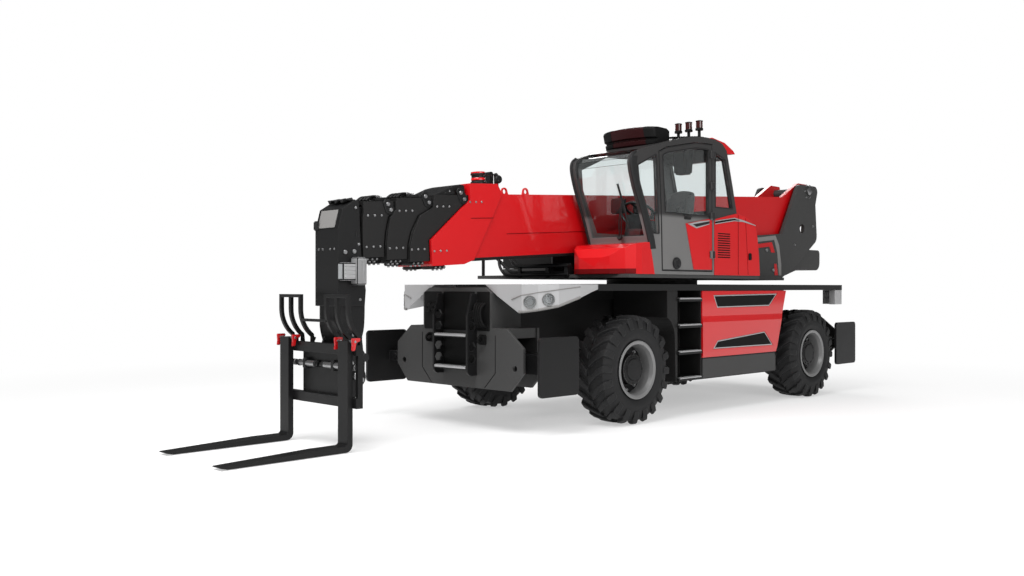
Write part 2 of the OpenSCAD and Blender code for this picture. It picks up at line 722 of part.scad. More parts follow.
module seat() {
  z0 = floor_z1 + cab_k * cab_h / 2;
  ym = (cab_y0 + cab_y1) / 2 - 30;
  color("#2e3034") place() {
    block(420, 880, ym - 190, ym + 190, z0, z0 + 300);
    block(400, 960, ym - 210, ym + 210, z0 + 300 - touch, z0 + 430);
    xz(ym - 205, ym + 205) polygon([[400, z0 + 400], [520, z0 + 400], [420, z0 + 1000], [310, z0 + 1000]]);
  }
}

module cab_cowls() {
  nose = [[1500, cab_y0 + 5], [1820, cab_y0 + 5], [1940, cab_y0 + 70], [2000, cab_y0 + 190], [2010, cab_y0 + 420],
    [1990, cab_y1 - 260], [1930, cab_y1 - 90], [1840, cab_y1 - 15], [1760, cab_y1], [1500, cab_y1]];
  nose_side = [[1500, floor_z1], [1990, floor_z1], [2012, floor_z1 + 60], [2000, floor_z1 + 180],
    [1940, floor_z1 + 280], [1840, floor_z1 + 325], [1700, floor_z1 + 345], [1500, floor_z1 + 345]];
  cover = [[cab_x0, floor_z1], [cab_x0, floor_z1 + 745], [-210, floor_z1 + 728], [-340, floor_z1 + 692],
    [-460, floor_z1 + 640], [-510, floor_z1 + 600], [-545, floor_z1 + 470], [-580, floor_z1 + 240],
    [-600, floor_z1]];
  panel_x1 = door_x0 - 45;
  panel_y1 = cab_y1 + 8;
  panel = [[cab_x0 - 20, floor_z1], [panel_x1, floor_z1], [panel_x1, floor_z1 + 655],
    [cab_x0 + 40, floor_z1 + 745], [cab_x0 - 20, floor_z1 + 735]];
  louvre_n = 11;
  louvre_h = 14;
  spoiler = [for (p = [[0.24, 1.012], [0.11, 0.99], [0.02, 0.942], [0, 0.918], [0.06, 0.912], [0.11, 0.92],
    [0.24, 0.98]]) cab_pt(p)];
  color("#d5131f") place() {
    difference() {
      intersection() {
        xy(floor_z1, floor_z1 + 400) polygon(nose);
        xz(cab_y0, cab_y1) polygon(nose_side);
      }
      xz(cab_y0 - 10, cab_y1 + 10) polygon(cab_line);
    }
    difference() {
      union() {
        xz(cheek_y1 + 110, panel_y1) polygon(cover);
        xz(cab_y1, panel_y1) polygon(panel);
      }
      for (i = [0:louvre_n - 1]) {
        z = floor_z1 + 205 + 2 * louvre_h * i;
        block(cab_x0 + 160, panel_x1 - 65, cab_y1 - 1, panel_y1 + 10, z, z + louvre_h);
      }
    }
    difference() {
      xz(cab_y0 + 70, cab_y1 - 30) polygon(spoiler);
      xz(cab_y0 - 10, cab_y1 + 10) polygon(cab_line);
    }
  }
}

module door_panel() {
  z = floor_z1;
  color("#d5131f") place() xz(cab_y1, cab_y1 + 8) polygon([[door_x0 + 56, z + 60], [door_x0 + 370, z + 60],
    [door_x0 + 525, z + 580], [door_x0 + 56, z + 655]]);
}

module roof_visor() {
  visor = [for (p = [[0.6, 0.92], [0.6, 1.03], [0.615, 1.042], [0.68, 1.038], [0.74, 1.02], [0.768, 1],
    [0.775, 0.97], [0.772, 0.9], [0.755, 0.87], [0.68, 0.87]]) cab_pt(p)];
  color("#141416") place() difference() {
    xz(cab_y0 + 20, cab_y1 - 110) polygon(visor);
    xz(cab_y0 - 10, cab_y1 + 10) polygon(cab_line);
  }
}

module beacons() {
  roof = floor_z1 + cab_h;
  x = cab_x0 + 540;
  pitch = 150;
  color("#d8741c") place() difference() {
    for (i = [0, 1, 2]) {
      y = cab_y1 - 475 + pitch * i;
      bar_z(x, y, roof - 30, roof + 150, 14);
      bar_z(x, y, roof + 140, roof + 225, 40);
    }
    xz(cab_y0 - 10, cab_y1 + 10) polygon(cab_line);
  }
}

module engine_hood() {
  bend = 110;
  slot_n = 9;
  slot_w = 26;
  slot_x = hood_x0 + 180;
  shoulder = [hood_y0 + bend, hood_z1 - bend];
  color("#4c4f53") place() {
    difference() {
      yz(hood_x0, hood_x1) polygon(concat([[hood_y0, hood_z0], [hood_in, hood_z0], [hood_in, hood_z1]],
        arc(shoulder, bend, 90, 180)));
      yz(hood_x0 + hood_wall, hood_x1 - hood_wall) polygon(concat([[hood_y0 + hood_wall, hood_z0 - 10],
        [hood_in + 10, hood_z0 - 10], [hood_in + 10, hood_z1 - hood_wall]],
        arc(shoulder, bend - hood_wall, 90, 180)));
      for (i = [0:slot_n - 1]) {
        x = slot_x + 2 * slot_w * i;
        block(x, x + slot_w, hood_y0 - 10, hood_y0 + hood_wall + 10, hood_z0 + 120, hood_z1 - bend - 60);
      }
    }
    for (x = [hood_x0 + 300, hood_x1 - 500]) {
      bar_x(x, x + 200, hood_hinge_y, hood_z1, 12);
      block(x, x + 200, hood_in - touch, hood_hinge_y, hood_z1 - 10, hood_z1 + 10);
    }
  }
}

module engine_block() {
  color("#55585c") place() {
    block(hood_x0 + 250, hood_x1 - 300, hood_y0 + 140, hood_y1 - 110, floor_z1, hood_z1 - 150);
  }
}

module guard_rail() {
  r = 20;
  x = 1900;
  low = floor_z1 + 30;
  rise = 80;
  bend = 150;
  lean = 35;
  in_y = cab_y0 - 15;
  mirror_y = 70 - body_y;
  mirror_z = floor_z1 + 1020;
  color("#27282b") place() {
    for (i = [0, 1]) {
      y = -600 + 110 * i;
      z = low + rise * i;
      knee = [x, y - bend * sin(lean), z + bend * (1 - cos(lean))];
      rod([x, in_y, z], [x, y, z], r);
      translate([x, y, z + bend]) rotate([90, 0, 90]) rotate([0, 0, 270 - lean]) rotate_extrude(angle = lean)
        translate([bend, 0]) circle(r);
      rod(knee, [x, mirror_y, knee[2] + (knee[1] - mirror_y) * tan(lean)], r);
    }
    block(x - 30, x + 30, -40, 40, floor_z1, low + rise);
    block(x - 30, x + 30, in_y - 80, in_y, floor_z1, low + rise);
    bar_z(x, mirror_y, floor_z1, mirror_z + 200, r);
    xz(mirror_y - 80, mirror_y + 140) polygon(rounded(x - 40, x + 30, mirror_z, mirror_z + 260, 30));
  }
}

module in_boom() {
  place() translate([-pivot_back, 0, pivot_z]) rotate([0, boom_tilt, 0]) children();
}

module tube(i, x0, x1) {
  w = boom_w - sec_step_w * i;
  h = boom_h - sec_step_h * i;
  difference() {
    block(x0, x1, -w / 2, w / 2, tube_mid - h / 2, tube_mid + h / 2);
    block(x0 - 10, x1 + 10, boom_wall - w / 2, w / 2 - boom_wall, tube_mid - h / 2 + boom_wall,
      tube_mid + h / 2 - boom_wall);
  }
}

module pads(i, x_top, x_low) {
  w = boom_w - sec_step_w * i;
  h = boom_h - sec_step_h * i;
  long = 160;
  inner_w = boom_w - sec_step_w * (i + 1);
  inner_h = boom_h - sec_step_h * (i + 1);
  both() {
    block(x_top - long, x_top, inner_w / 2 + glide, w / 2 - boom_wall + touch, tube_mid + 0.22 * inner_h,
      tube_mid + 0.38 * inner_h);
    block(x_low - long, x_low, inner_w / 2 + glide, w / 2 - boom_wall + touch, tube_mid - 0.42 * inner_h,
      tube_mid - 0.26 * inner_h);
    block(x_top - long, x_top, 0.2 * inner_w, 0.4 * inner_w, tube_mid + inner_h / 2 + glide,
      tube_mid + h / 2 - boom_wall + touch);
    block(x_low - long, x_low, 0.2 * inner_w, 0.4 * inner_w, tube_mid - h / 2 + boom_wall - touch,
      tube_mid - inner_h / 2 - glide);
  }
}

rakes = [545, 345, 145, 30];
base_shape = [[1, 0.66], [1, 0.41], [0, -0.18], [0, -0.56]];
plate_shape = [[1, 0.5], [0.94, 0.33], [0.45, 0.2], [0.15, -0.06], [0.03, -0.26], [0, -0.5]];
function front_x(i) = tube_x1 + i * (collar_len + collar_gap);
function rear_x(i) = tube_x0 + 230 + 90 * i;
function edge(i, over) = [for (p = i == 0 ? base_shape : plate_shape)
  [front_x(i) - p[0] * rakes[i], tube_mid + p[1] * (boom_h - sec_step_h * i) + sign(p[1]) * over]];

module ahead(i) {
  line = edge(i, 0);
  polygon(concat(line, [[front_x(i) + 900, tube_mid - boom_h], [front_x(i) + 900, tube_mid + boom_h],
    [line[0][0], tube_mid + boom_h]]));
}

module boom_base() {
  top = tube_mid + boom_h / 2;
  low = tube_mid - boom_h / 2;
  ear_x = tube_x0 + 130;
  ear_y = boom_w / 2 - 60;
  lug_y = eye_w / 2 + 12;
  collar_y = boom_w / 2 + collar_lip;
  color("#d5131f") in_boom() difference() {
    union() {
      tube(0, tube_x0 + plate_t, tube_x1);
      block(tube_x0, tube_x0 + plate_t + touch, -boom_w / 2, boom_w / 2, low, top);
      difference() {
        xz(-collar_y, collar_y) polygon(concat([[tube_x1 - 1000, top], [tube_x1 - 940, edge(0, 0)[0][1]]],
          edge(0, 0), [[tube_x1 - 420, low - 40], [tube_x1 - 560, low]]));
        block(tube_x1 - 1100, tube_x1 + 100, boom_wall - boom_w / 2, boom_w / 2 - boom_wall, low + boom_wall,
          top - boom_wall);
      }
      both() xz(ear_y, boom_w / 2) polygon([[-170, -80], [-130, 110], [130, 130], [ear_x, top], [ear_x, low],
        [tube_x0 - 50, low], [-60, -420]]);
      both() {
        xz(lug_y, lug_y + 40) polygon([[rod_pin_lx - 150, low + touch], [rod_pin_lx + 150, low + touch],
          [rod_pin_lx + 80, rod_pin_lz - 80], [rod_pin_lx - 80, rod_pin_lz - 80]]);
      }
      pads(0, tube_x1 - rakes[0] - 20, tube_x1 - 30);
      for (x = lift_eyes) {
        xz(-eye_t / 2, eye_t / 2) polygon(concat([[x - 60, top - touch], [x + 60, top - touch]],
          arc([x, top + 50], 44, 0, 180)));
      }
    }
    xz(-boom_w, boom_w) ahead(0);
    for (x = lift_eyes) {
      bar_y(x, -boom_w, boom_w, top + 50, 26);
    }
    bar_y(0, -boom_w, boom_w, 0, pivot_r + fit);
    bar_y(rod_pin_lx, -boom_w, boom_w, rod_pin_lz, lift_pin_r);
  }
}

module section(i) {
  w = boom_w - sec_step_w * i;
  h = boom_h - sec_step_h * i;
  x1 = front_x(i);
  collar_y = w / 2 + collar_lip;
  back_x = front_x(i - 1) - rakes[i - 1];
  color("#35373b") in_boom() difference() {
    union() {
      tube(i, rear_x(i), x1);
      difference() {
        xz(-collar_y, collar_y) intersection() {
          polygon(concat(edge(i, collar_lip), [[back_x, tube_mid - h / 2 - collar_lip],
            [back_x, tube_mid + h / 2 + collar_lip]]));
          translate([collar_gap, 0]) ahead(i - 1);
        }
        block(tube_x1 - 1100, x1 + 100, boom_wall - w / 2, w / 2 - boom_wall, tube_mid - h / 2 + boom_wall,
          tube_mid + h / 2 - boom_wall);
      }
      pads(i, x1 - rakes[i] - 20, x1 - 30);
    }
    xz(-boom_w, boom_w) ahead(i);
  }
}

module boom_section_2() {
  section(1);
}

module boom_section_3() {
  section(2);
}

module boom_section_4() {
  section(3);
}

module boom_head() {
  half = head_w / 2;
  front = head_x + head_deep - 20;
  seam_z = 1290;
  slim = 22;
  bend = 70;
  lamp_z = 1490;
  column = [[head_x + 22, head_z + 272], [head_x + 60, head_z + 275], [head_x + 200, head_z + 190], [front, head_z],
    [front, seam_z], [head_x - 48, seam_z], [head_x - 60, 1440], [head_x - 10, head_z - 260]];
  cover = [[front, seam_z + touch], [front, 1150], [tilt_x + 90, 950], [tilt_x + 90, tilt_z - 60],
    [tilt_x + 20, tilt_z - 90], [tilt_x - 70, tilt_z - 60], [head_x - 30, 900], [head_x - 48, seam_z + touch]];
  plan = concat([[head_x - 200, slim - half]], arc([front - bend, slim - half + bend], bend, 270, 360),
    arc([front - bend, half - slim - bend], bend, 0, 90), [[head_x - 200, half - slim]]);
  color("#26272a") {
    in_boom() tube(4, rear_x(4), head_lx + 40);
    place() difference() {
      union() {
        xz(-half, half) polygon(column);
        intersection() {
          xz(-half, half) polygon(cover);
          xy(tilt_z - 100, seam_z + touch) polygon(plan);
        }
        bar_y(tilt_x, -half, half, tilt_z, tilt_r + 50);
        block(head_x + 10, head_x + 110, half - touch, half + 105, lamp_z, lamp_z + 250);
        block(head_x + 100, head_x + 250, half - touch, half + 80, lamp_z + 40, lamp_z + 200);
      }
      bar_y(tilt_x, -1000, 1000, tilt_z, tilt_r + fit);
    }
  }
}

module in_lift() {
  place() translate([base_pin_x, 0, base_pin_z]) rotate([0, -lift_angle, 0]) children();
}

module lift_barrel() {
  mouth = lift_len - 260;
  color("#2f3135") in_lift() difference() {
    union() {
      bar_y(0, -eye_w / 2, eye_w / 2, 0, eye_r);
      block(0, 150, -eye_w / 2, eye_w / 2, -eye_r + 6, eye_r - 6);
      bar_x(130, mouth, 0, 0, barrel_r);
    }
    bar_y(0, -200, 200, 0, lift_pin_r + fit);
    bar_x(180, mouth - 90, 0, 0, barrel_r - 18);
    bar_x(mouth - 100, mouth + 10, 0, 0, rod_r + fit);
  }
}

module lift_rod() {
  color("#d7dadd") in_lift() difference() {
    union() {
      bar_x(190, lift_len - eye_r + 10, 0, 0, rod_r);
      bar_x(190, 260, 0, 0, barrel_r - 18 - fit);
      bar_y(lift_len, -eye_w / 2, eye_w / 2, 0, eye_r);
    }
    bar_y(lift_len, -200, 200, 0, lift_pin_r);
  }
}

module carriage() {
  half = carriage_w / 2;
  y1 = bracket_y0 + bracket_t;
  bend = 330;
  bar_w = 34;
  centre = [bar_x0 + rest_reach - bend, rest_top - 140];
  curve = concat([[bar_x0 - 40, bar_high + 10], [bar_x0 + touch, bar_high + 10]], arc(centre, bend, -53, 0),
    [[bar_x0 + rest_reach, rest_top], [bar_x0 + rest_reach - bar_w, rest_top]], arc(centre, bend - bar_w, 0, -53));
  web_t = 14;
  cross_x0 = bar_x0 + 97;
  cross_z = rest_top - 240;
  color("#242528") place() {
    both() xz(bracket_y0, y1) polygon(concat(arc([tilt_x - 20, tilt_z - 10], 100, 150, 250),
      [[tilt_x + 40, bar_low - 20], [bar_x0 + touch, bar_low], [bar_x0 + touch, tilt_z + 290],
      [tilt_x - 20, tilt_z + 290]], arc([tilt_x - 50, tilt_z + 190], 60, 100, 180)));
    bar_y(tilt_x, -y1 - 14, y1 + 14, tilt_z, tilt_r);
    block(bar_x0, bar_x1, -half, half, bar_low, bar_low + bar_h);
    block(bar_x0, bar_x1, -half, half, bar_high, bar_high + bar_h);
    block(bar_x0, bar_x0 + web_t, -330, 330, bar_low + bar_h - touch, bar_high + touch);
    both() {
      bar_y(tilt_x - 90, y1 - touch, y1 + 26, tilt_z + 170, 36);
      bar_y(tilt_x + 60, y1 - touch, y1 + 20, tilt_z + 120, 28);
      bar_y(bar_x0 + web_t + 24, 20, 380, bar_high - 110, 26);
      block(bar_x0, bar_x1 - 20, half - 40, half, bar_low, bar_high + 10);
      for (y = [200, 370, 540]) {
        xz(y, y + bar_w) polygon(curve);
      }
      block(bar_x0 + rest_reach - bar_w, bar_x0 + rest_reach, 200, 540 + bar_w, rest_top - 30, rest_top);
    }
    block(cross_x0, cross_x0 + 22, -210, 210, cross_z - 13, cross_z + 13);
  }
}

module fork(s) {
  y = s * fork_span / 2;
  heel = 70;
  bend = 30;
  back = fork_x0 + fork_t;
  top = bar_high + bar_h;
  color("#1f2022") place() xz(y - fork_w / 2, y + fork_w / 2) polygon(concat(
    arc([fork_x0 + heel, fork_z0 + heel], heel, 180, 270),
    [[back + fork_len - 60, fork_z0], [fork_tip, fork_z0 + 14], [fork_tip, fork_z0 + 22],
    [back + 300, fork_z0 + fork_t]], arc([back + bend, fork_z0 + fork_t + bend], bend, 270, 180),
    [[back, top + 40], [bar_x0 + 12, top + 40], [bar_x0 + 12, top + glide], [fork_x0, top + glide]]));
}

module fork_left() {
  fork(1);
}

module fork_right() {
  fork(-1);
}

chassis_frame();
front_bay();
rear_bay();
deck();
side_boxes();
side_panels();
access_steps();
front_ladder();
corner_housings();
headlamps();
axles();
leg_arm(front_leg_x, 1, 1);  // leg_fl_arm
leg_beam(front_leg_x, 1, 1);  // leg_fl_beam
leg_foot(front_leg_x, 1, 1);  // leg_fl_foot
leg_arm(front_leg_x, 1, -1);  // leg_fr_arm
leg_beam(front_leg_x, 1, -1);  // leg_fr_beam
leg_foot(front_leg_x, 1, -1);  // leg_fr_foot
leg_arm(rear_leg_x, -1, 1);  // leg_rl_arm
leg_beam(rear_leg_x, -1, 1);  // leg_rl_beam
leg_foot(rear_leg_x, -1, 1);  // leg_rl_foot
leg_arm(rear_leg_x, -1, -1);  // leg_rr_arm
leg_beam(rear_leg_x, -1, -1);  // leg_rr_beam
leg_foot(rear_leg_x, -1, -1);  // leg_rr_foot
knuckle(axle_x, 1);  // knuckle_fl
knuckle(axle_x, -1);  // knuckle_fr
knuckle(-axle_x, 1);  // knuckle_rl
knuckle(-axle_x, -1);  // knuckle_rr
tyre(axle_x, 1);  // tyre_fl
tyre(axle_x, -1);  // tyre_fr
tyre(-axle_x, 1);  // tyre_rl
tyre(-axle_x, -1);  // tyre_rr
rim(axle_x, 1);  // rim_fl
rim(axle_x, -1);  // rim_fr
rim(-axle_x, 1);  // rim_rl
rim(-axle_x, -1);  // rim_rr
turret_frame();
cab_frame();
cab_glass();
cab_trim();
seat();
cab_cowls();
roof_visor();
beacons();
cab_door();
door_panel();
door_glass();
engine_hood();
engine_block();
guard_rail();
boom_base();
boom_section_2();
boom_section_3();
boom_section_4();
boom_head();
lift_barrel();
lift_rod();
carriage();
fork_left();
fork_right();
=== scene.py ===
"""Finishes and small parts of a rotating telehandler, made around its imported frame."""

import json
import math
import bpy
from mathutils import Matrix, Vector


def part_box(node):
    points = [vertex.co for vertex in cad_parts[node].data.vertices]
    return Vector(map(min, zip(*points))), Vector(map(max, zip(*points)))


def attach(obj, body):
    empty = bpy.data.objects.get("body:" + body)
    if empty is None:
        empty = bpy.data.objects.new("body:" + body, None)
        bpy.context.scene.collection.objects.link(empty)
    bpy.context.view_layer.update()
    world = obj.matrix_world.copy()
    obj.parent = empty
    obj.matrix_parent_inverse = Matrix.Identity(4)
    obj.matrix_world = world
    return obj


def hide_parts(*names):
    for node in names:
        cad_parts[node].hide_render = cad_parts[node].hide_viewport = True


bl_info = {
    "name": "Rotating telehandler dressing",
    "version": (1, 0, 0),
    "blender": (4, 5, 0),
    "location": "View3D > Sidebar > Telehandler",
    "description": "Paints, tyres, hoses, bolts, glass and cab fittings of a rotating telehandler",
    "category": "Add Mesh",
}

import bmesh
import bpy
from bpy.props import FloatProperty, FloatVectorProperty, IntProperty, PointerProperty
from bpy.types import Operator, Panel, PropertyGroup
from mathutils import Matrix, Vector

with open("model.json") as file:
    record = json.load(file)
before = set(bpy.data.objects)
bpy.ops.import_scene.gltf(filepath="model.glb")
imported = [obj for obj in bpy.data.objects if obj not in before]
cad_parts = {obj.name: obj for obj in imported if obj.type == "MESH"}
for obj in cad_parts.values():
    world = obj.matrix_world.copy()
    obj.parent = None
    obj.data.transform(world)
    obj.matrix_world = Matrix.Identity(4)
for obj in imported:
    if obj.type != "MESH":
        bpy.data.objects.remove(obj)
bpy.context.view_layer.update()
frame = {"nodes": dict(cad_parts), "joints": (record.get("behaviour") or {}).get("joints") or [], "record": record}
JOINTS = {joint["name"]: joint for joint in frame["joints"]}
NODES = frame["nodes"]
WHEELS = ("fl", "fr", "rl", "rr")
SIDES = (-1, 1)
SMOOTH_ANGLE = math.radians(38)
# How far a rim's dish lies in from its outer face
DISH_DEPTH = 0.168
# The slewing axis is the middle of the wheelbase: places below are measured from it, in metres
SLEW_X = JOINTS["slew"]["pos_m"][0]


def at(x, y, z):
    """A place measured from the slewing axis on the ground."""
    return Vector((x + SLEW_X, y, z))


def places(points, side=1):
    """Several such places, on the left or mirrored to the right."""
    return [at(x, side * y, z) for x, y, z in points]


def side_of(wheel):
    """Which side a wheel is on: 1 on the left, -1 on the right."""
    return 1 if wheel[1] == "l" else -1


# Boom places: x along the boom from its pivot, z square to it
BOOM_PIVOT = Vector(JOINTS["boom_lift"]["pos_m"])
BOOM_AXIS = Vector(JOINTS["extend_2"]["axis"])
BOOM_UP = Vector((-BOOM_AXIS.z, 0, BOOM_AXIS.x))


def on_boom(x, y, z):
    """A place on the lowered boom, measured along it from its pivot."""
    return BOOM_PIVOT + BOOM_AXIS * x + BOOM_UP * z + Vector((0, y, 0))


class Shape:
    """Solid forms gathered into one mesh, in the frame's own metres."""

    def __init__(self):
        self.bm = bmesh.new()

    def take(self, part, bevel=0.0, matrix=None):
        """Rounds the sharp edges of a form and adds it."""
        if bevel:
            sharp = [e for e in part.edges if len(e.link_faces) == 2 and e.calc_face_angle(0) > SMOOTH_ANGLE]
            bmesh.ops.bevel(part, geom=sharp, offset=bevel, segments=2, affect="EDGES", clamp_overlap=True)
        if matrix is not None:
            part.transform(matrix)
        bmesh.ops.recalc_face_normals(part, faces=part.faces)
        mesh = bpy.data.meshes.new("form")
        part.to_mesh(mesh)
        part.free()
        self.bm.from_mesh(mesh)
        bpy.data.meshes.remove(mesh)
        return self

    def block(self, low, high, bevel=0.004):
        """A box between two corners."""
        part = bmesh.new()
        size = [abs(b - a) for a, b in zip(low, high)]
        middle = (Vector(low) + Vector(high)) / 2
        bmesh.ops.create_cube(part, size=1, matrix=Matrix.Translation(middle) @ Matrix.Diagonal((*size, 1)))
        return self.take(part, min(bevel, 0.45 * min(size)))

    def plate(self, outline, start, across, up, through, bevel=0.004):
        """An outline drawn on two directions from a start point, made as thick as a third vector."""
        part = bmesh.new()
        corners = [part.verts.new(start + across * a + up * b) for a, b in outline]
        face = part.faces.new(corners)
        grown = bmesh.ops.extrude_face_region(part, geom=[face])["geom"]
        bmesh.ops.translate(part, verts=[g for g in grown if isinstance(g, bmesh.types.BMVert)], vec=through)
        return self.take(part, bevel)

    def spin(self, profile, centre, axis, sides=32):
        """A closed profile of (along, radius) pairs turned round an axis."""
        part = bmesh.new()
        skin(part, [[part.verts.new((radius * c, radius * s, along)) for c, s in turns(sides)]
                    for along, radius in profile], capped=True)
        return self.take(part, 0, stand(centre, axis))

    def rod(self, start, end, radius, sides=20, bevel=0.002):
        """A round bar between two points with softened ends."""
        axis = Vector(end) - Vector(start)
        soft = min(bevel, radius * 0.4)
        profile = [(0, radius - soft), (soft, radius), (axis.length - soft, radius), (axis.length, radius - soft)]
        return self.spin(profile, start, axis, sides)

    def ring(self, centre, axis, radius, thick, sides=40, sections=10):
        """A round ring."""
        part = bmesh.new()
        section = [(radius + thick * c, thick * s) for c, s in turns(sections)]
        skin(part, [[part.verts.new((r * c, r * s, z)) for r, z in section] for c, s in turns(sides)], closed=True)
        return self.take(part, 0, stand(centre, axis))

    def hose(self, points, radius, sides=10, steps=8):
        """A round hose or bent tube along a smooth curve through some points."""
        part = bmesh.new()
        line = smooth_line([Vector(p) for p in points], steps)
        rings = []
        # Any start direction that no hose runs along
        up = Vector((0.13, 0.31, 0.94)).normalized()
        for i, p in enumerate(line):
            along = (line[min(i + 1, len(line) - 1)] - line[max(i - 1, 0)]).normalized()
            side = along.cross(up).normalized()
            up = side.cross(along).normalized()
            rings.append([part.verts.new(p + (side * c + up * s) * radius) for c, s in turns(sides)])
        skin(part, rings, capped=True)
        return self.take(part)

    def bolt(self, centre, axis, radius):
        """A hexagon bolt head on its washer."""
        axis = Vector(axis).normalized()
        high = radius * 0.9
        washer = [(0, radius * 1.35), (high * 0.25, radius * 1.35), (high * 0.25, radius * 0.9)]
        self.spin(washer, centre, axis, 16)
        head = [(0, radius), (high * 0.85, radius), (high, radius * 0.82)]
        return self.spin(head, Vector(centre) + axis * high * 0.2, axis, 6)

    def piece(self, name, body, slot, coating=None):
        """The finished object, riding on a body of the frame, in its slot's finish or in one of its own."""
        mesh = bpy.data.meshes.new(name)
        self.bm.to_mesh(mesh)
        self.bm.free()
        for polygon in mesh.polygons:
            polygon.use_smooth = True
        mesh.set_sharp_from_angle(angle=SMOOTH_ANGLE)
        mesh.materials.append(coat(coating or SLOT_COATS[slot]))
        obj = bpy.data.objects.new(name, mesh)
        bpy.context.scene.collection.objects.link(obj)
        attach(obj, body)
        return obj


def stand(centre, axis):
    """The matrix that sets a form made round z on a place, along an axis."""
    return Matrix.Translation(centre) @ Vector((0, 0, 1)).rotation_difference(Vector(axis)).to_matrix().to_4x4()


def turns(count, shift=0.0):
    """Cosine and sine of even steps round a circle."""
    angles = [2 * math.pi * (i + shift) / count for i in range(count)]
    return [(math.cos(a), math.sin(a)) for a in angles]


def skin(part, rings, closed=False, capped=False):
    """Joins neighbouring rings of a tube with faces, and may close its ends."""
    pairs = list(zip(rings, rings[1:]))
    if closed:
        pairs.append((rings[-1], rings[0]))
    for low, high in pairs:
        count = len(low)
        for k in range(count):
            m = (k + 1) % count
            part.faces.new((low[k], low[m], high[m], high[k]))
    if capped:
        part.faces.new(rings[0])
        part.faces.new(rings[-1])


def smooth_line(points, steps):
    """Points along a smooth curve that passes through the given ones."""
    ends = [points[0] * 2 - points[1], *points, points[-1] * 2 - points[-2]]
    line = []
    for a, b, c, d in zip(ends, ends[1:], ends[2:], ends[3:]):
        for i in range(steps):
            t = i / steps
            line.append(0.5 * (2 * b + (c - a) * t + (2 * a - 5 * b + 4 * c - d) * t ** 2
                               + (3 * b - a - 3 * c + d) * t ** 3))
    return [*line, points[-1]]


def tint(name, description, colour):
    """A colour setting."""
    return FloatVectorProperty(name=name, description=description, subtype="COLOR", default=colour, min=0, max=1)


class Paints(PropertyGroup):
    """Colours of the finishes."""

    red: tint("Red", "Boom, cowls and covers", (0.52, 0.0035, 0.006))
    anthracite: tint("Anthracite", "Boom sections", (0.012, 0.0117, 0.0117))
    black: tint("Black", "Carrier, carriage and forks", (0.0085, 0.0085, 0.0088))
    grey: tint("Grey", "Cab frame and door", (0.135, 0.133, 0.131))
    silver: tint("Silver", "Lamp housings, treads and trim", (0.42, 0.42, 0.425))
    rim: tint("Rim", "Wheel rims", (0.2, 0.2, 0.2))
    charcoal: tint("Charcoal", "Pillars and roof of the cab", (0.032, 0.031, 0.031))
    slate: tint("Slate", "Turret plates, bumper and skirts", (0.044, 0.0437, 0.0434))
    steel: tint("Steel", "Bolts and pins", (0.33, 0.33, 0.335))
    rubber: tint("Rubber", "Tyres, hoses and seals", (0.013, 0.013, 0.0135))
    glass: tint("Glass", "Tint of the cab windows", (0.86, 0.9, 0.9))
    amber: tint("Beacon", "Lenses of the beacons", (0.035, 0.005, 0.0045))
    cloth: tint("Seat cloth", "Cover of the seat", (0.15, 0.15, 0.15))
    floor: tint("Floor", "Studio floor and background", (0.93, 0.93, 0.93))


class Sizes(PropertyGroup):
    """Sizes of the small parts."""

    edge: FloatProperty(name="Edge", description="Radius of the softened edges", default=0.006, unit="LENGTH")
    bolt: FloatProperty(name="Bolt", description="Radius of a bolt head", default=0.0085, unit="LENGTH")
    hose: FloatProperty(name="Hose", description="Radius of a hydraulic hose", default=0.013, unit="LENGTH")
    tyre_sides: IntProperty(name="Tyre sides", description="Facets round a tyre", default=160, min=40)
    lugs: IntProperty(name="Lugs", description="Lugs on each side of a tyre", default=20, min=8)
    lug_height: FloatProperty(name="Lug height", description="Height of the tyre lugs", default=0.036,
                              unit="LENGTH")


class Studio(PropertyGroup):
    """Camera and light of the picture."""

    eye: FloatVectorProperty(name="Eye", description="Camera, from the slewing axis on the ground",
                             subtype="TRANSLATION", default=(9.97, 7.63, 1.458))
    heading: FloatVectorProperty(name="Heading", description="Direction of view", subtype="DIRECTION",
                                 default=(-0.6984, -0.7157, 0))
    lens: FloatProperty(name="Lens", description="Focal length on a 36 mm sensor, in millimetres",
                        default=33.75)
    key: FloatProperty(name="Key light", description="Power of the key light", default=900, subtype="POWER")
    fill: FloatProperty(name="Fill light", description="Power of the fill light", default=420, subtype="POWER")
    sky: FloatProperty(name="Sky", description="Strength of the even light from all round", default=0.55)


def paints():
    """The colours in use."""
    return bpy.context.scene.telehandler_paints


def sizes():
    """The sizes in use."""
    return bpy.context.scene.telehandler_sizes


def group(name, inputs, outputs):
    """A new shader node group with named sockets, with its input and output nodes."""
    tree = bpy.data.node_groups.new(name, "ShaderNodeTree")
    for label, kind, value in inputs:
        socket = tree.interface.new_socket(label, in_out="INPUT", socket_type=kind)
        socket.default_value = value
    for label, kind in outputs:
        tree.interface.new_socket(label, in_out="OUTPUT", socket_type=kind)
    return tree, tree.nodes.new("NodeGroupInput"), tree.nodes.new("NodeGroupOutput")


def fill(made, **values):
    """Sets inputs of a shader node by their names."""
    for key, value in values.items():
        made.inputs[key.replace("_", " ")].default_value = value


def node(tree, kind, **values):
    """A shader node with some of its properties or input values set."""
    made = tree.nodes.new(kind)
    for key, value in values.items():
        if hasattr(made, key):
            setattr(made, key, value)
        else:
            fill(made, **{key: value})
    return made


def new_material(name):
    """A new material with its node tree and main shader."""
    material = bpy.data.materials.new(name)
    material.use_nodes = True
    return material, material.node_tree, material.node_tree.nodes["Principled BSDF"]


def join(tree, *links):
    """Links sockets, each link given as a node and its output, then a node and its input."""
    for start, output, end, entry in links:
        tree.links.new(start.outputs[output], end.inputs[entry])


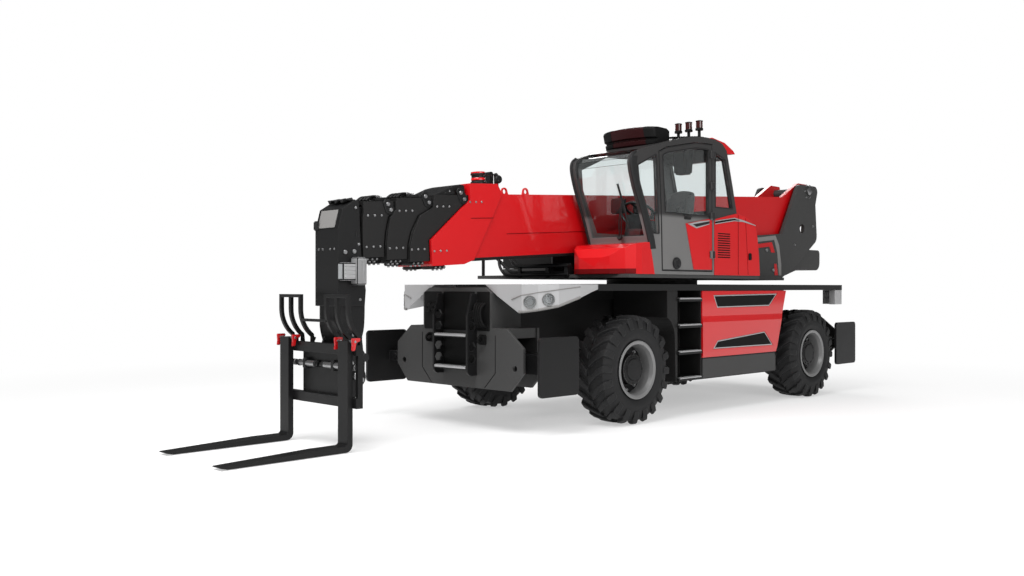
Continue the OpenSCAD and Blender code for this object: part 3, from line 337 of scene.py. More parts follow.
FLOAT = "NodeSocketFloat"
COLOUR = "NodeSocketColor"
VECTOR = "NodeSocketVector"
# Sockets of a colour mix: its two colours, and its result
MIX_A, MIX_B, MIXED = 6, 7, 2


def skin_group():
    """Paint or plastic skin: drifting shade, smudged gloss, fine relief and softened edges."""
    if "surface skin" in bpy.data.node_groups:
        return bpy.data.node_groups["surface skin"]
    tree, given, put = group(
        "surface skin",
        [("Colour", COLOUR, (0.5, 0.5, 0.5, 1)), ("Shade drift", FLOAT, 0.1), ("Roughness", FLOAT, 0.4),
         ("Smudge", FLOAT, 0.1), ("Relief scale", FLOAT, 300), ("Relief", FLOAT, 0.05),
         ("Edge radius", FLOAT, 0.006), ("Edge wear", FLOAT, 0.15)],
        [("Colour", COLOUR), ("Roughness", FLOAT), ("Normal", VECTOR)])
    place = node(tree, "ShaderNodeTexCoord")
    cloud = node(tree, "ShaderNodeTexNoise", Scale=1.7, Detail=5.0, Roughness=0.6)
    smear = node(tree, "ShaderNodeTexNoise", Scale=9.0, Detail=6.0, Roughness=0.65, Distortion=0.6)
    fine = node(tree, "ShaderNodeTexNoise", Detail=2.0)
    drift = node(tree, "ShaderNodeMath", operation="MULTIPLY_ADD")
    centred = node(tree, "ShaderNodeMath", operation="SUBTRACT")
    centred.inputs[1].default_value = 0.5
    drift.inputs[2].default_value = 1.0
    tone = node(tree, "ShaderNodeMix", data_type="RGBA", blend_type="MULTIPLY", Factor=1.0)
    soft = node(tree, "ShaderNodeBevel", samples=4)
    straight = node(tree, "ShaderNodeNewGeometry")
    facing = node(tree, "ShaderNodeVectorMath", operation="DOT_PRODUCT")
    edge = node(tree, "ShaderNodeMapRange", From_Min=0.995, From_Max=0.8)
    worn = node(tree, "ShaderNodeMath", operation="MULTIPLY")
    patchy = node(tree, "ShaderNodeMath", operation="MULTIPLY")
    pale = node(tree, "ShaderNodeMix", data_type="RGBA", blend_type="SCREEN")
    pale.inputs[MIX_B].default_value = (0.35, 0.35, 0.35, 1)
    rough = node(tree, "ShaderNodeMath", operation="MULTIPLY_ADD")
    smudge = node(tree, "ShaderNodeMath", operation="SUBTRACT")
    smudge.inputs[1].default_value = 0.5
    bump = node(tree, "ShaderNodeBump", Distance=0.001)
    join(tree, (place, "Object", cloud, "Vector"), (place, "Object", smear, "Vector"),
         (place, "Object", fine, "Vector"), (given, "Relief scale", fine, "Scale"), (cloud, "Fac", centred, 0),
         (centred, 0, drift, 0), (given, "Shade drift", drift, 1), (given, "Colour", tone, MIX_A),
         (drift, 0, tone, MIX_B), (given, "Edge radius", soft, "Radius"), (soft, "Normal", facing, 0),
         (straight, "Normal", facing, 1), (facing, "Value", edge, "Value"), (edge, "Result", worn, 0),
         (given, "Edge wear", worn, 1), (worn, 0, patchy, 0), (smear, "Fac", patchy, 1), (tone, MIXED, pale, MIX_A),
         (patchy, 0, pale, "Factor"), (pale, MIXED, put, "Colour"), (smear, "Fac", smudge, 0), (smudge, 0, rough, 0),
         (given, "Smudge", rough, 1), (given, "Roughness", rough, 2), (rough, 0, put, "Roughness"),
         (fine, "Fac", bump, "Height"), (given, "Relief", bump, "Strength"), (soft, "Normal", bump, "Normal"),
         (bump, "Normal", put, "Normal"))
    return tree


def finish(name, colour, roughness, metallic=0.0, lacquer=0.0, drift=0.12, smudge=0.12, relief=0.05,
           relief_scale=350.0, wear=0.2, edge=None, specular=0.5):
    """A material made from the shared skin with its own colour, gloss and relief."""
    material, tree, shader = new_material(name)
    material.diffuse_color = (*colour, 1)
    skin_node = node(tree, "ShaderNodeGroup", node_tree=skin_group())
    fill(skin_node, Colour=(*colour, 1), Shade_drift=drift, Roughness=roughness, Smudge=smudge,
         Relief_scale=relief_scale, Relief=relief, Edge_wear=wear, Edge_radius=sizes().edge if edge is None else edge)
    fill(shader, Metallic=metallic, Coat_Weight=lacquer, Specular_IOR_Level=specular, Coat_Roughness=0.06)
    join(tree, (skin_node, "Colour", shader, "Base Color"), (skin_node, "Roughness", shader, "Roughness"),
         (skin_node, "Normal", shader, "Normal"))
    return material


COATS = {
    # Gloss enamel, and a darker copy of the same red as painted shade in folds and seams
    "red_enamel": ("red", 0.36, dict(lacquer=0.8, drift=0.1, smudge=0.08, relief=0.04, wear=0.12, specular=0.25)),
    "shaded_red": ((0.12, 0.002, 0.003), 0.5, dict(relief=0.02, wear=0.0, specular=0.1)),
    # Satin paints
    "anthracite_coat": ("anthracite", 0.46, dict(relief=0.1, relief_scale=700, wear=0.1, specular=0.22)),
    "black_coat": ("black", 0.4, dict(relief=0.1, relief_scale=700, wear=0.1, specular=0.22)),
    "slate_coat": ("slate", 0.46, dict(relief=0.08, relief_scale=600, wear=0.1, specular=0.25)),
    "grey_coat": ("grey", 0.4, dict(lacquer=0.15, relief=0.06, wear=0.2)),
    "silver_coat": ("silver", 0.34, dict(metallic=0.35, lacquer=0.3, drift=0.08, relief=0.04)),
    "rim_coat": ("rim", 0.4, dict(metallic=0.3, drift=0.15, relief=0.05, wear=0.3)),
    # Pale grey reflecting sheet, and a near-black for black plastic ends and trim that also stands as painted shade
    # in slots, deep gaps and recesses
    "pale_sheet": ((0.19, 0.185, 0.18), 0.5, dict(relief=0.2, relief_scale=1200, wear=0.05)),
    "matt_black": ((0.004, 0.004, 0.004), 0.65, dict(relief=0.05, wear=0.0, specular=0.15)),
    # Zinc plated bolts, pins and treads, and the hard chrome of cylinder rods
    "zinc_steel": ("steel", 0.36, dict(metallic=0.9, drift=0.3, smudge=0.3, relief=0.08, relief_scale=180,
                                      edge=0.002)),
    "hard_chrome": ((0.72, 0.72, 0.74), 0.12, dict(metallic=1.0, drift=0.05, smudge=0.05, relief=0.0)),
    # Rubber and plastics
    "black_rubber": ("rubber", 0.62, dict(drift=0.5, smudge=0.25, relief=0.35, relief_scale=260, wear=0.2, edge=0.004,
                                          specular=0.25)),
    "grained_plastic": ((0.01, 0.01, 0.0105), 0.48, dict(relief=0.3, relief_scale=900, wear=0.1, specular=0.3)),
    "gloss_plastic": ((0.006, 0.005, 0.0055), 0.14, dict(lacquer=0.8, smudge=0.05, relief=0.0, wear=0.1)),
    "smoked_plastic": ((0.02, 0.003, 0.0036), 0.42, dict(relief=0.0, wear=0.02, specular=0.12)),
    "beacon_lens": ("amber", 0.16, dict(lacquer=0.8, relief=0.0, wear=0.0)),
}
# Heights over which the cab's grey turns to charcoal, at the door's waist
WAIST = (2.24, 2.28)


def cab_paint(name):
    """Grey paint of the cab, charcoal from the door's waist up."""
    material = finish(name, paints().grey, 0.4, lacquer=0.1, relief=0.06, wear=0.2, specular=0.35)
    tree = material.node_tree
    skin_node = next(n for n in tree.nodes if n.type == "GROUP")
    place = node(tree, "ShaderNodeTexCoord")
    parts = node(tree, "ShaderNodeSeparateXYZ")
    height = node(tree, "ShaderNodeMapRange", From_Min=WAIST[0], From_Max=WAIST[1])
    tone = node(tree, "ShaderNodeMix", data_type="RGBA")
    tone.inputs[MIX_A].default_value = (*paints().grey, 1)
    tone.inputs[MIX_B].default_value = (*paints().charcoal, 1)
    join(tree, (place, "Object", parts, 0), (parts, "Z", height, "Value"), (height, "Result", tone, "Factor"),
         (tone, MIXED, skin_node, "Colour"))
    return material


def weave_group():
    """Woven cloth: crossing threads as shade and relief."""
    if "cloth weave" in bpy.data.node_groups:
        return bpy.data.node_groups["cloth weave"]
    tree, given, put = group("cloth weave", [("Colour", COLOUR, (0.1, 0.1, 0.1, 1)), ("Threads", FLOAT, 420)],
                             [("Colour", COLOUR), ("Height", FLOAT)])
    place = node(tree, "ShaderNodeTexCoord")
    warp = node(tree, "ShaderNodeTexWave", bands_direction="Y")
    weft = node(tree, "ShaderNodeTexWave", bands_direction="DIAGONAL")
    both = node(tree, "ShaderNodeMath", operation="MULTIPLY")
    shade = node(tree, "ShaderNodeMapRange", To_Min=0.55, To_Max=1.25)
    tone = node(tree, "ShaderNodeMix", data_type="RGBA", blend_type="MULTIPLY", Factor=1.0)
    for wave in (warp, weft):
        join(tree, (place, "Object", wave, "Vector"), (given, "Threads", wave, "Scale"))
    join(tree, (warp, "Fac", both, 0), (weft, "Fac", both, 1), (both, 0, shade, "Value"),
         (given, "Colour", tone, MIX_A), (shade, "Result", tone, MIX_B), (tone, MIXED, put, "Colour"),
         (both, 0, put, "Height"))
    return tree


def seat_cloth(name):
    """Woven seat cover."""
    material, tree, shader = new_material(name)
    weave = node(tree, "ShaderNodeGroup", node_tree=weave_group())
    fill(weave, Colour=(*paints().cloth, 1))
    bump = node(tree, "ShaderNodeBump", Strength=0.5, Distance=0.001)
    fill(shader, Roughness=0.85, Sheen_Weight=0.25)
    join(tree, (weave, "Colour", shader, "Base Color"), (weave, "Height", bump, "Height"),
         (bump, "Normal", shader, "Normal"))
    return material


def glass(name, colour=None, roughness=0.0):
    """Clear glass that lets light through to what is behind it."""
    material, tree, shader = new_material(name)
    fill(shader, Base_Color=(*(paints().glass if colour is None else colour), 1), Roughness=roughness, IOR=1.45,
         Transmission_Weight=1.0)
    through = node(tree, "ShaderNodeBsdfTransparent", Color=(0.8, 0.83, 0.83, 1))
    ray = node(tree, "ShaderNodeLightPath")
    either = node(tree, "ShaderNodeMath", operation="MAXIMUM")
    mixed = node(tree, "ShaderNodeMixShader")
    out = tree.nodes["Material Output"]
    join(tree, (ray, "Is Shadow Ray", either, 0), (ray, "Is Diffuse Ray", either, 1), (either, 0, mixed, "Fac"),
         (shader, "BSDF", mixed, 1), (through, "BSDF", mixed, 2), (mixed, "Shader", out, "Surface"))
    return material


def lamp_glass(name):
    """Clear lens of a lamp."""
    return glass(name, (0.95, 0.96, 0.97), 0.03)


# Finishes with nodes of their own
OWN_COATS = {"two_tone_coat": cab_paint, "woven_cloth": seat_cloth, "cab_glass_clear": glass,
             "lamp_lens_clear": lamp_glass}
# The finish of each material slot in the record, and of the nodes that differ from their slot
SLOT_COATS = {
    "red_paint": "red_enamel", "anthracite_paint": "anthracite_coat", "black_paint": "black_coat",
    "grey_paint": "grey_coat", "silver_paint": "silver_coat", "tyre_rubber": "black_rubber",
    "axle_paint": "black_coat", "leg_paint": "black_coat", "galvanised_steel": "zinc_steel",
    "chrome_rod": "hard_chrome",
    "clear_glass": "cab_glass_clear", "lamp_lens": "lamp_lens_clear", "beacon_amber": "beacon_lens",
    "black_plastic": "grained_plastic", "seat_cloth": "woven_cloth",
}
NODE_COATS = {
    "cab_frame": "two_tone_coat", "cab_door": "two_tone_coat", "roof_visor": "smoked_plastic",
    "turret_frame": "slate_coat", "front_bay": "slate_coat", "access_steps": "black_coat",
    "front_ladder": "black_coat",
    **{"rim_" + wheel: "rim_coat" for wheel in WHEELS},
}


def coat(name):
    """The finish of that name, made when it is first asked for."""
    if name in bpy.data.materials:
        return bpy.data.materials[name]
    if name in OWN_COATS:
        return OWN_COATS[name](name)
    colour, roughness, settings = COATS[name]
    if isinstance(colour, str):
        colour = getattr(paints(), colour)
    return finish(name, colour, roughness, **settings)


def tyre_ring(wheel):
    """Carcass of a tyre as a turned profile, with its curved lugs, in the place of its solid."""
    low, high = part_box("tyre_" + wheel)
    rim_low, rim_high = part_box("rim_" + wheel)
    centre = (low + high) / 2
    radius = (high.z - low.z) / 2
    half = (high.y - low.y) / 2
    rim = (rim_high.z - rim_low.z) / 2
    base = radius - sizes().lug_height
    side = [(half - 0.045, rim - 0.024), (half - 0.034, rim - 0.004), (half - 0.022, rim + 0.012),
            (half - 0.012, rim + 0.03), (half - 0.004, rim + 0.06), (half - 0.001, rim + 0.092),
            (half - 0.003, rim + 0.1), (half - 0.002, rim + 0.106), (half - 0.004, rim + 0.125),
            (half - 0.012, radius - 0.11), (half - 0.026, radius - 0.07), (half - 0.045, base - 0.008),
            (half - 0.09, base - 0.003), (0.06, base)]
    profile = [(-y, r) for y, r in side] + [(y, r) for y, r in reversed(side)]
    part = bmesh.new()
    rings = [[part.verts.new((r * c, y, -r * s)) for y, r in profile] for c, s in turns(sizes().tyre_sides)]
    skin(part, rings, closed=True)
    shape = Shape()
    shape.take(part, 0, Matrix.Translation(centre))
    flip = Matrix.Translation(centre) @ Matrix.Diagonal((1, side_of(wheel), 1, 1))
    for i in range(sizes().lugs):
        for hand in SIDES:
            shape.take(tyre_lug(i, hand, radius, half), 0.005, flip)
    return shape


def tyre_lug(index, hand, radius, half):
    """One curved lug, from high on the side wall over the shoulder to the middle of the tread."""
    pitch = 2 * math.pi / sizes().lugs
    base = radius - sizes().lug_height
    lean = math.radians(14)
    start = (index + 0.28 + (0.5 if hand > 0 else 0)) * pitch
    stations = [
        (half + 0.001, radius - 0.135, radius - 0.128, 0.0), (half - 0.004, radius - 0.09, radius - 0.062, 0.0),
        (half - 0.016, radius - 0.05, radius - 0.018, 0.0), (half - 0.045, base - 0.014, radius - 0.006, 0.06),
        (half - 0.1, base - 0.008, radius - 0.002, 0.3), (half - 0.15, base - 0.006, radius, 0.62),
        (0.012, base - 0.006, radius, 1.0),
    ]
    part = bmesh.new()
    rings = []
    for step, (y, low, high, turn) in enumerate(stations):
        mid = start + lean * turn
        wide = pitch * (0.27 if step < 5 else 0.25)
        top = pitch * (0.19 if step < 5 else 0.17)
        ring = []
        for a, r in ((mid - wide, low - 0.012), (mid - top, high), (mid + top, high), (mid + wide, low - 0.012)):
            ring.append(part.verts.new((r * math.cos(a), hand * y, -r * math.sin(a))))
        rings.append(ring)
    skin(part, rings, capped=True)
    bmesh.ops.recalc_face_normals(part, faces=part.faces)
    return part


class TELEHANDLER_OT_paint(Operator):
    """Give every solid of the frame its finish"""

    bl_idname = "telehandler.paint"
    bl_label = "Paint the frame"

    def execute(self, context):
        for entry in frame["record"]["subparts"]:
            name = entry["node"]
            slots = NODES[name].data.materials
            slots.clear()
            slots.append(coat(NODE_COATS.get(name, SLOT_COATS[entry["material_slot"]])))
        return {"FINISHED"}


class TELEHANDLER_OT_tyres(Operator):
    """Make the four tyres"""

    bl_idname = "telehandler.tyres"
    bl_label = "Tyres"

    def execute(self, context):
        for wheel in WHEELS:
            tyre = tyre_ring(wheel).piece("tyre_tread_" + wheel, "wheel_" + wheel, "tyre_rubber")
            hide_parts("tyre_" + wheel)
        return {"FINISHED"}


class TELEHANDLER_OT_hubs(Operator):
    """Make the planetary hubs and wheel nuts"""

    bl_idname = "telehandler.hubs"
    bl_label = "Hubs and wheel nuts"

    def execute(self, context):
        for wheel in WHEELS:
            out = side_of(wheel)
            low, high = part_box("rim_" + wheel)
            axis = Vector((0, out, 0))
            middle = (low + high) / 2
            face = high.y if out > 0 else low.y
            dish = Vector((middle.x, 0, middle.z))
            seat = dish + axis * (abs(face) - DISH_DEPTH)
            hub = Shape()
            hub.spin([(-0.004, 0.262), (0.006, 0.258), (0.006, 0.2), (0.02, 0.19), (0.024, 0.168), (0.094, 0.166),
                      (0.102, 0.158), (0.106, 0.12), (0.118, 0.112), (0.12, 0.05), (0.12, 0.0)], seat, axis, 64)
            for c, s in turns(12):
                hub.bolt(seat + Vector((c, 0, s)) * 0.141 + axis * 0.102, axis, 0.009)
            hub.piece("hub_cover_" + wheel, "wheel_" + wheel, "axle_paint")
            nuts = Shape()
            for c, s in turns(10, 0.5):
                nuts.bolt(seat + Vector((c, 0, s)) * 0.222 + axis * 0.006, axis, 0.016)
            nuts.piece("wheel_nuts_" + wheel, "wheel_" + wheel, "galvanised_steel")
        return {"FINISHED"}


def button(shape, centre, axis, radius, thick):
    """A round head with a softened rim."""
    shape.spin([(0, radius), (thick * 0.7, radius), (thick, radius * 0.86)], centre, axis, 28)


# Places along the boom, in metres from its pivot and from the middle line of its tubes
BOOM_FRONT = 7.36
BOOM_STEP = 0.254
BOOM_MID = -0.4185
BOOM_HEIGHT = 0.677
HEIGHT_STEP = 0.062
COLLAR_HALF = 0.28
HALF_STEP = 0.028
SECTION_BODIES = ("boom", "boom_2", "boom_3", "boom_4")
UPPER_ROWS = ((6.74, 0.377), (7.16, 0.343), (7.613, 0.311), (7.968, 0.268))
LOWER_ROWS = ((7.245, -0.343), (7.506, -0.337), (7.751, -0.337), (8.001, -0.334))
# Pins near the upper rear corner of each inner section's plate
TOP_PINS = {1: ((6.933, -0.07), (6.888, -0.135)), 2: ((7.375, -0.107), (7.335, -0.166)),
            3: ((7.82, -0.182), (7.79, -0.235))}
PIN_PLATE = 0.012
BOLT_PITCH = 0.08
# Cover on top of the second section
TOP_COVER = [(6.835, -0.14), (6.835, 0.012), (6.9, 0.02), (7.0, 0.0), (7.255, -0.095), (7.255, -0.14)]
# Hose guides on top of a section: how far behind its plate's top, and how high
GUIDE_LINE = ((0.34, 0.012), (0.28, 0.045), (0.18, 0.052), (0.11, 0.014))
# How far the top of a section's plate lies behind its foot
RAKES = (0.545, 0.345, 0.145, 0.03)


def section_height(index):
    """Height of one boom tube."""
    return BOOM_HEIGHT - HEIGHT_STEP * index


def boom_plate(shape, outline, y, thick, bevel=0.003):
    """A plate in the plane of the boom's side, with its outline measured along the boom."""
    return shape.plate(outline, on_boom(0, y, 0), BOOM_AXIS, BOOM_UP, Vector((0, thick, 0)), bevel)


def boom_block(shape, low, high, bevel=0.004):
    """A block square to the boom."""
    outline = [(low[0], low[2]), (high[0], low[2]), (high[0], high[2]), (low[0], high[2])]
    return boom_plate(shape, outline, low[1], high[1] - low[1], bevel)


class TELEHANDLER_OT_boom_fittings(Operator):
    """Make the bolts, pins, pads and hose carriers of the boom sections"""

    bl_idname = "telehandler.boom_fittings"
    bl_label = "Boom fittings"

    def execute(self, context):
        for index, body in enumerate(SECTION_BODIES):
            self.side_bolts(index, body)
            self.carriers(index, body)
        self.base_fittings()
        return {"FINISHED"}

    def side_bolts(self, index, body):
        """Rows of three bolts and the pad pins on both sides of one section."""
        bolts = Shape()
        half = COLLAR_HALF - HALF_STEP * index
        for side in SIDES:
            axis = (0, side, 0)
            for along, share in (UPPER_ROWS[index], LOWER_ROWS[index]):
                for k in (-1, 0, 1):
                    place = on_boom(along + BOLT_PITCH * k, side * half, BOOM_MID + share * section_height(index))
                    bolts.bolt(place, axis, sizes().bolt)
            for x, z in TOP_PINS.get(index, ()):
                button(bolts, on_boom(x, side * (half + PIN_PLATE), z), axis, 0.02, 0.016)
        bolts.piece("boom_bolts_%d" % (index + 1), body, "galvanised_steel")
        if index in TOP_PINS:
            self.pin_plates(index, body, half)

    def pin_plates(self, index, body, half):
        """Plates under the pad pins on both sides of an inner section."""
        holders = Shape()
        (x0, z0), (x1, z1) = TOP_PINS[index]
        outline = [(x0 + 0.05, z0 + 0.02), (x0 + 0.02, z0 + 0.05), (x0 - 0.03, z0 + 0.045), (x1 - 0.05, z1 + 0.02),
                   (x1 - 0.045, z1 - 0.03), (x1, z1 - 0.05), (x1 + 0.045, z1 - 0.03)]
        for side in SIDES:
            boom_plate(holders, outline, side * half, side * PIN_PLATE)
        holders.piece("boom_pin_plates_%d" % (index + 1), body, "black_paint")

    def carriers(self, index, body):
        """Pad carriers under a section's collar, and the hose guides on top of it."""
        dark = Shape()
        bright = Shape()
        height = section_height(index)
        front = BOOM_FRONT + BOOM_STEP * index
        low = BOOM_MID - height / 2 - (0.02 if index else 0.04)
        wide = COLLAR_HALF - HALF_STEP * index - 0.03
        for side in SIDES:
            boom_block(dark, (front - 0.2, min(side * wide, side * 0.07), low - 0.034),
                       (front - 0.03, max(side * wide, side * 0.07), low), 0.008)
            for k in range(3):
                x = front - 0.17 + 0.055 * k
                button(bright, on_boom(x, side * (wide - 0.04), low - 0.034), -BOOM_UP, 0.013, 0.014)
                button(bright, on_boom(x, side * wide, low - 0.016), (0, side, 0), 0.01, 0.012)
        if index == 1:
            boom_plate(dark, TOP_COVER, -wide, 2 * wide, 0.006)
        if index:
            top = BOOM_MID + height / 2 + 0.02
            front -= RAKES[index]
            boom_block(dark, (front - 0.3, -0.11, top), (front - 0.15, 0.11, top + 0.02), 0.005)
            for y in (-0.08, -0.03, 0.03, 0.08):
                dark.hose([on_boom(front - back, y, top + rise) for back, rise in GUIDE_LINE], sizes().hose)
                bright.rod(on_boom(front - 0.27, y, top + 0.046), on_boom(front - 0.23, y, top + 0.052), 0.017)
            for side in SIDES:
                boom_block(dark, (front - 0.3, side * wide - 0.03, top),
                           (front - 0.16, side * wide + 0.01, top + 0.035), 0.008)
                button(bright, on_boom(front - 0.23, side * wide - 0.01, top + 0.035), BOOM_UP, 0.014, 0.014)
        dark.piece("pad_carriers_%d" % (index + 1), body, "black_paint")
        bright.piece("carrier_bolts_%d" % (index + 1), body, "galvanised_steel")

    def base_fittings(self):
        """Bottom rail of the outer tube, the lamp and the post on top of it, and the painted shade along its seams.
        """
        dark = Shape()
        low = BOOM_MID - BOOM_HEIGHT / 2
        boom_block(dark, (1.25, -0.262, low - 0.014), (6.78, 0.262, low + 0.022), 0.004)
        top = 0.028
        dark.spin([(0, 0.084), (0.03, 0.084), (0.036, 0.072), (0.1, 0.07), (0.104, 0.08), (0.118, 0.08),
                   (0.124, 0.07)], on_boom(6.53, 0.1, top), BOOM_UP, 32)
        dark.rod(on_boom(6.53, 0.1, top + 0.11), on_boom(6.28, 0.1, top + 0.115), 0.008)
        boom_block(dark, (6.252, 0.07, -0.085), (6.284, 0.13, 0.16), 0.012)
        dark.spin([(0, 0.04), (0.012, 0.046), (0.024, 0.04)], on_boom(6.27, 0.13, 0.09), (0, 1, 0), 24)
        dark.piece("boom_rail", "boom", "black_paint")
        bands = Shape()
        bands.spin([(0, 0.075), (0.02, 0.075), (0.024, 0.072)], on_boom(6.53, 0.1, top + 0.05), BOOM_UP, 32)
        bands.spin([(0, 0.076), (0.014, 0.076), (0.018, 0.06)], on_boom(6.53, 0.1, top + 0.122), BOOM_UP, 32)
        bands.piece("boom_lamp_bands", "boom", "red_paint")
        # Seam lines of the outer tube in the darker copy of the red: painted shade in its seams
        seams = Shape()
        for side in SIDES:
            for y, line in ((0.2605, ((1.5, -0.56), (4.6, -0.56), (5.1, -0.5), (6.3, -0.5))),
                            (0.2805, ((6.5, -0.33), (6.82, -0.33)))):
                for (a, b), (c, d) in zip(line, line[1:]):
                    seams.rod(on_boom(a, side * y, b), on_boom(c, side * y, d), 0.0035, 6)
        seams.piece("boom_seam_shade", "boom", "red_paint", "shaded_red")


HEAD_X = 4.695
HEAD_FRONT = 4.945
HEAD_Z = 2.0056
HEAD_HOSES = (((4.72, 0.1, 1.78), (4.62, 0.1, 1.68), (4.6, 0.1, 1.4), (4.62, 0.12, 1.1), (4.66, 0.12, 0.95)),
              ((4.72, 0.06, 1.78), (4.6, 0.06, 1.66), (4.575, 0.06, 1.4), (4.6, 0.08, 1.1), (4.66, 0.08, 0.93)))


class TELEHANDLER_OT_head_fittings(Operator):
    """Make the work lamp, the reflecting plate, bolts and hoses of the boom head"""

    bl_idname = "telehandler.head_fittings"
    bl_label = "Boom head fittings"

    def execute(self, context):
        slope = (at(HEAD_X + 0.2, 0, HEAD_Z + 0.19) - at(HEAD_FRONT, 0, HEAD_Z)).normalized()
        outward = Vector((slope.z, 0, -slope.x))
        plate = Shape()
        plate.plate([(-0.15, 0.012), (0.13, 0.012), (0.13, 0.186), (-0.15, 0.186)], at(HEAD_FRONT, 0, HEAD_Z),
                    Vector((0, 1, 0)), slope, outward * 0.006, 0.002)
        plate.piece("head_reflector", "head", "silver_paint", "pale_sheet")
        lamp = Shape()
        lamp.block(at(HEAD_X + 0.007, 0.188, 1.486), at(HEAD_X + 0.113, 0.3, 1.744), 0.012)
        lamp.block(at(HEAD_X + 0.1, 0.188, 1.527), at(HEAD_FRONT + 0.004, 0.274, 1.693), 0.014)
        for k in range(6):
            lamp.block(at(HEAD_X + 0.014 + 0.017 * k, 0.296, 1.5), at(HEAD_X + 0.022 + 0.017 * k, 0.309, 1.73), 0.003)
        for z in (1.55, 1.585, 1.62, 1.655):
            lamp.block(at(HEAD_X + 0.12, 0.27, z), at(HEAD_FRONT - 0.02, 0.281, z + 0.012), 0.003)
        lamp.piece("work_lamp", "head", "silver_paint")
        lens = Shape()
        lens.block(at(HEAD_FRONT + 0.003, 0.2, 1.54), at(HEAD_FRONT + 0.009, 0.264, 1.68), 0.006)
        lens.piece("work_lamp_lens", "head", "lamp_lens")
        bolts = Shape()
        for side in SIDES:
            for x, z in ((4.87, 1.791), (4.77, 1.799)):
                button(bolts, at(x, side * 0.19, z), (0, side, 0), 0.021, 0.014)
            for x, z in ((4.715, 1.87), (4.75, 2.21), (4.7, 1.35), (4.78, 1.02)):
                bolts.bolt(at(x, side * 0.19, z), (0, side, 0), 0.01)
            for y in (0.06, 0.13):
                bolts.bolt(at(HEAD_FRONT, side * y, 1.82), (1, 0, 0), 0.008)
        bolts.piece("head_bolts", "head", "galvanised_steel")
        dark = Shape()
        for side in SIDES:
            dark.block(at(4.738, side * 0.186, 1.93), at(4.752, side * 0.193, 1.99), 0.003)
            for line in HEAD_HOSES:
                dark.hose(places(line, side), sizes().hose)
        dark.block(at(4.72, -0.15, HEAD_Z + 0.272), at(4.84, 0.15, HEAD_Z + 0.284), 0.005)
        for y in (-0.1, 0.0, 0.1):
            dark.rod(at(4.73, y, HEAD_Z + 0.29), at(4.85, y, HEAD_Z + 0.262), 0.016)
        dark.block(at(HEAD_FRONT - 0.01, -0.2, 2.0), at(HEAD_FRONT + 0.02, -0.13, 2.09), 0.01)
        dark.block(at(HEAD_FRONT - 0.09, -0.17, 1.288), at(HEAD_FRONT + 0.003, 0.17, 1.294), 0.002)
        dark.piece("head_hoses", "head", "tyre_rubber")
        return {"FINISHED"}


# Line of the fork positioners, and their parts: from and to which distance from the middle, radius and sides
POSITIONER_X, POSITIONER_Z = 5.013, 0.75
BARRELS = ((0.07, 0.33, 0.0295, 28), (0.41, 0.578, 0.0295, 28), (0.33, 0.4, 0.014, 20))
GLANDS = ((0.05, 0.08, 0.032, 28), (0.33, 0.36, 0.032, 28))
CARRIAGE_HOSES = (((4.99, 0.1, 0.77), (4.95, 0.11, 0.85), (4.9, 0.12, 0.97), (4.87, 0.12, 1.02)),
                  ((4.99, 0.3, 0.77), (4.95, 0.28, 0.84), (4.94, 0.24, 0.93), (4.94, 0.2, 0.99)))


class TELEHANDLER_OT_carriage_fittings(Operator):
    """Make the locks, positioner cylinders and pins of the fork carriage"""

    bl_idname = "telehandler.carriage_fittings"
    bl_label = "Carriage fittings"

    def execute(self, context):
        self.fork_locks()
        bright = Shape()
        dark = Shape()
        for side in SIDES:
            axis = (0, side, 0)
            for shape, rods in ((bright, BARRELS), (dark, GLANDS)):
                for start, end, radius, sides in rods:
                    shape.rod(at(POSITIONER_X, side * start, POSITIONER_Z),
                              at(POSITIONER_X, side * end, POSITIONER_Z), radius, sides)
            button(bright, at(4.845, side * 0.252, 0.76), axis, 0.026, 0.014)
            button(bright, at(4.785, side * 0.246, 0.64), axis, 0.034, 0.016)
            button(dark, at(4.695, side * 0.258, 0.81), axis, 0.04, 0.016)
            button(bright, at(4.71, side * 0.232, 0.6), axis, 0.022, 0.014)
            bright.bolt(at(4.9, side * 0.232, 0.89), axis, 0.012)
            bright.bolt(at(4.94, side * 0.232, 0.45), axis, 0.012)
            dark.block(at(4.985, side * 0.21, 0.7), at(5.044, side * 0.26, 0.8), 0.008)
            for line in CARRIAGE_HOSES:
                dark.hose(places(line, side), 0.009)
        bright.piece("carriage_pins", "carriage", "galvanised_steel")
        dark.piece("carriage_hoses", "carriage", "tyre_rubber")
        return {"FINISHED"}

    def fork_locks(self):
        """A red lock lever on each side of both forks' hooks, on a pin."""
        lever = [(5.1, 1.016), (5.01, 1.016), (5.01, 0.988), (5.05, 0.978), (5.066, 0.905), (5.1, 0.905),
                 (5.094, 0.95)]
        for body in ("fork_left", "fork_right"):
            low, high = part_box(body)
            middle = (low.y + high.y) / 2
            levers = Shape()
            pins = Shape()
            for hand in SIDES:
                y = middle + hand * 0.135
                side_plate(levers, lever, y - 0.013, 0.026, 0.006)
                pins.rod(at(5.07, middle + hand * 0.06, 0.985), at(5.07, y + hand * 0.02, 0.985), 0.011)
            levers.piece("lock_levers_" + body, body, "red_paint")
            pins.piece("lock_pins_" + body, body, "galvanised_steel")


# The cab's rear end and length, and its floor and height
CAB_REAR, CAB_LENGTH = -0.1, 2.03
CAB_FLOOR, CAB_HEIGHT = 1.61, 1.6


def cab_place(f, g, y):
    """A place on the cab: shares of its length and of its height, and how far left of the middle."""
    return at(CAB_REAR + CAB_LENGTH * f, y, CAB_FLOOR + CAB_HEIGHT * g)


def side_plate(shape, outline, y, thick, bevel=0.002):
    """A plate facing sideways, its outline given as (x, z) places."""
    return shape.plate(outline, at(0, y, 0), Vector((1, 0, 0)), Vector((0, 0, 1)), Vector((0, thick, 0)), bevel)


def strip(shape, points, radius, closed=False):
    """A rounded strip along straight lines between points."""
    ends = points[1:] + points[:1] if closed else points[1:]
    for start, end in zip(points, ends):
        shape.rod(start, end, radius, 8)


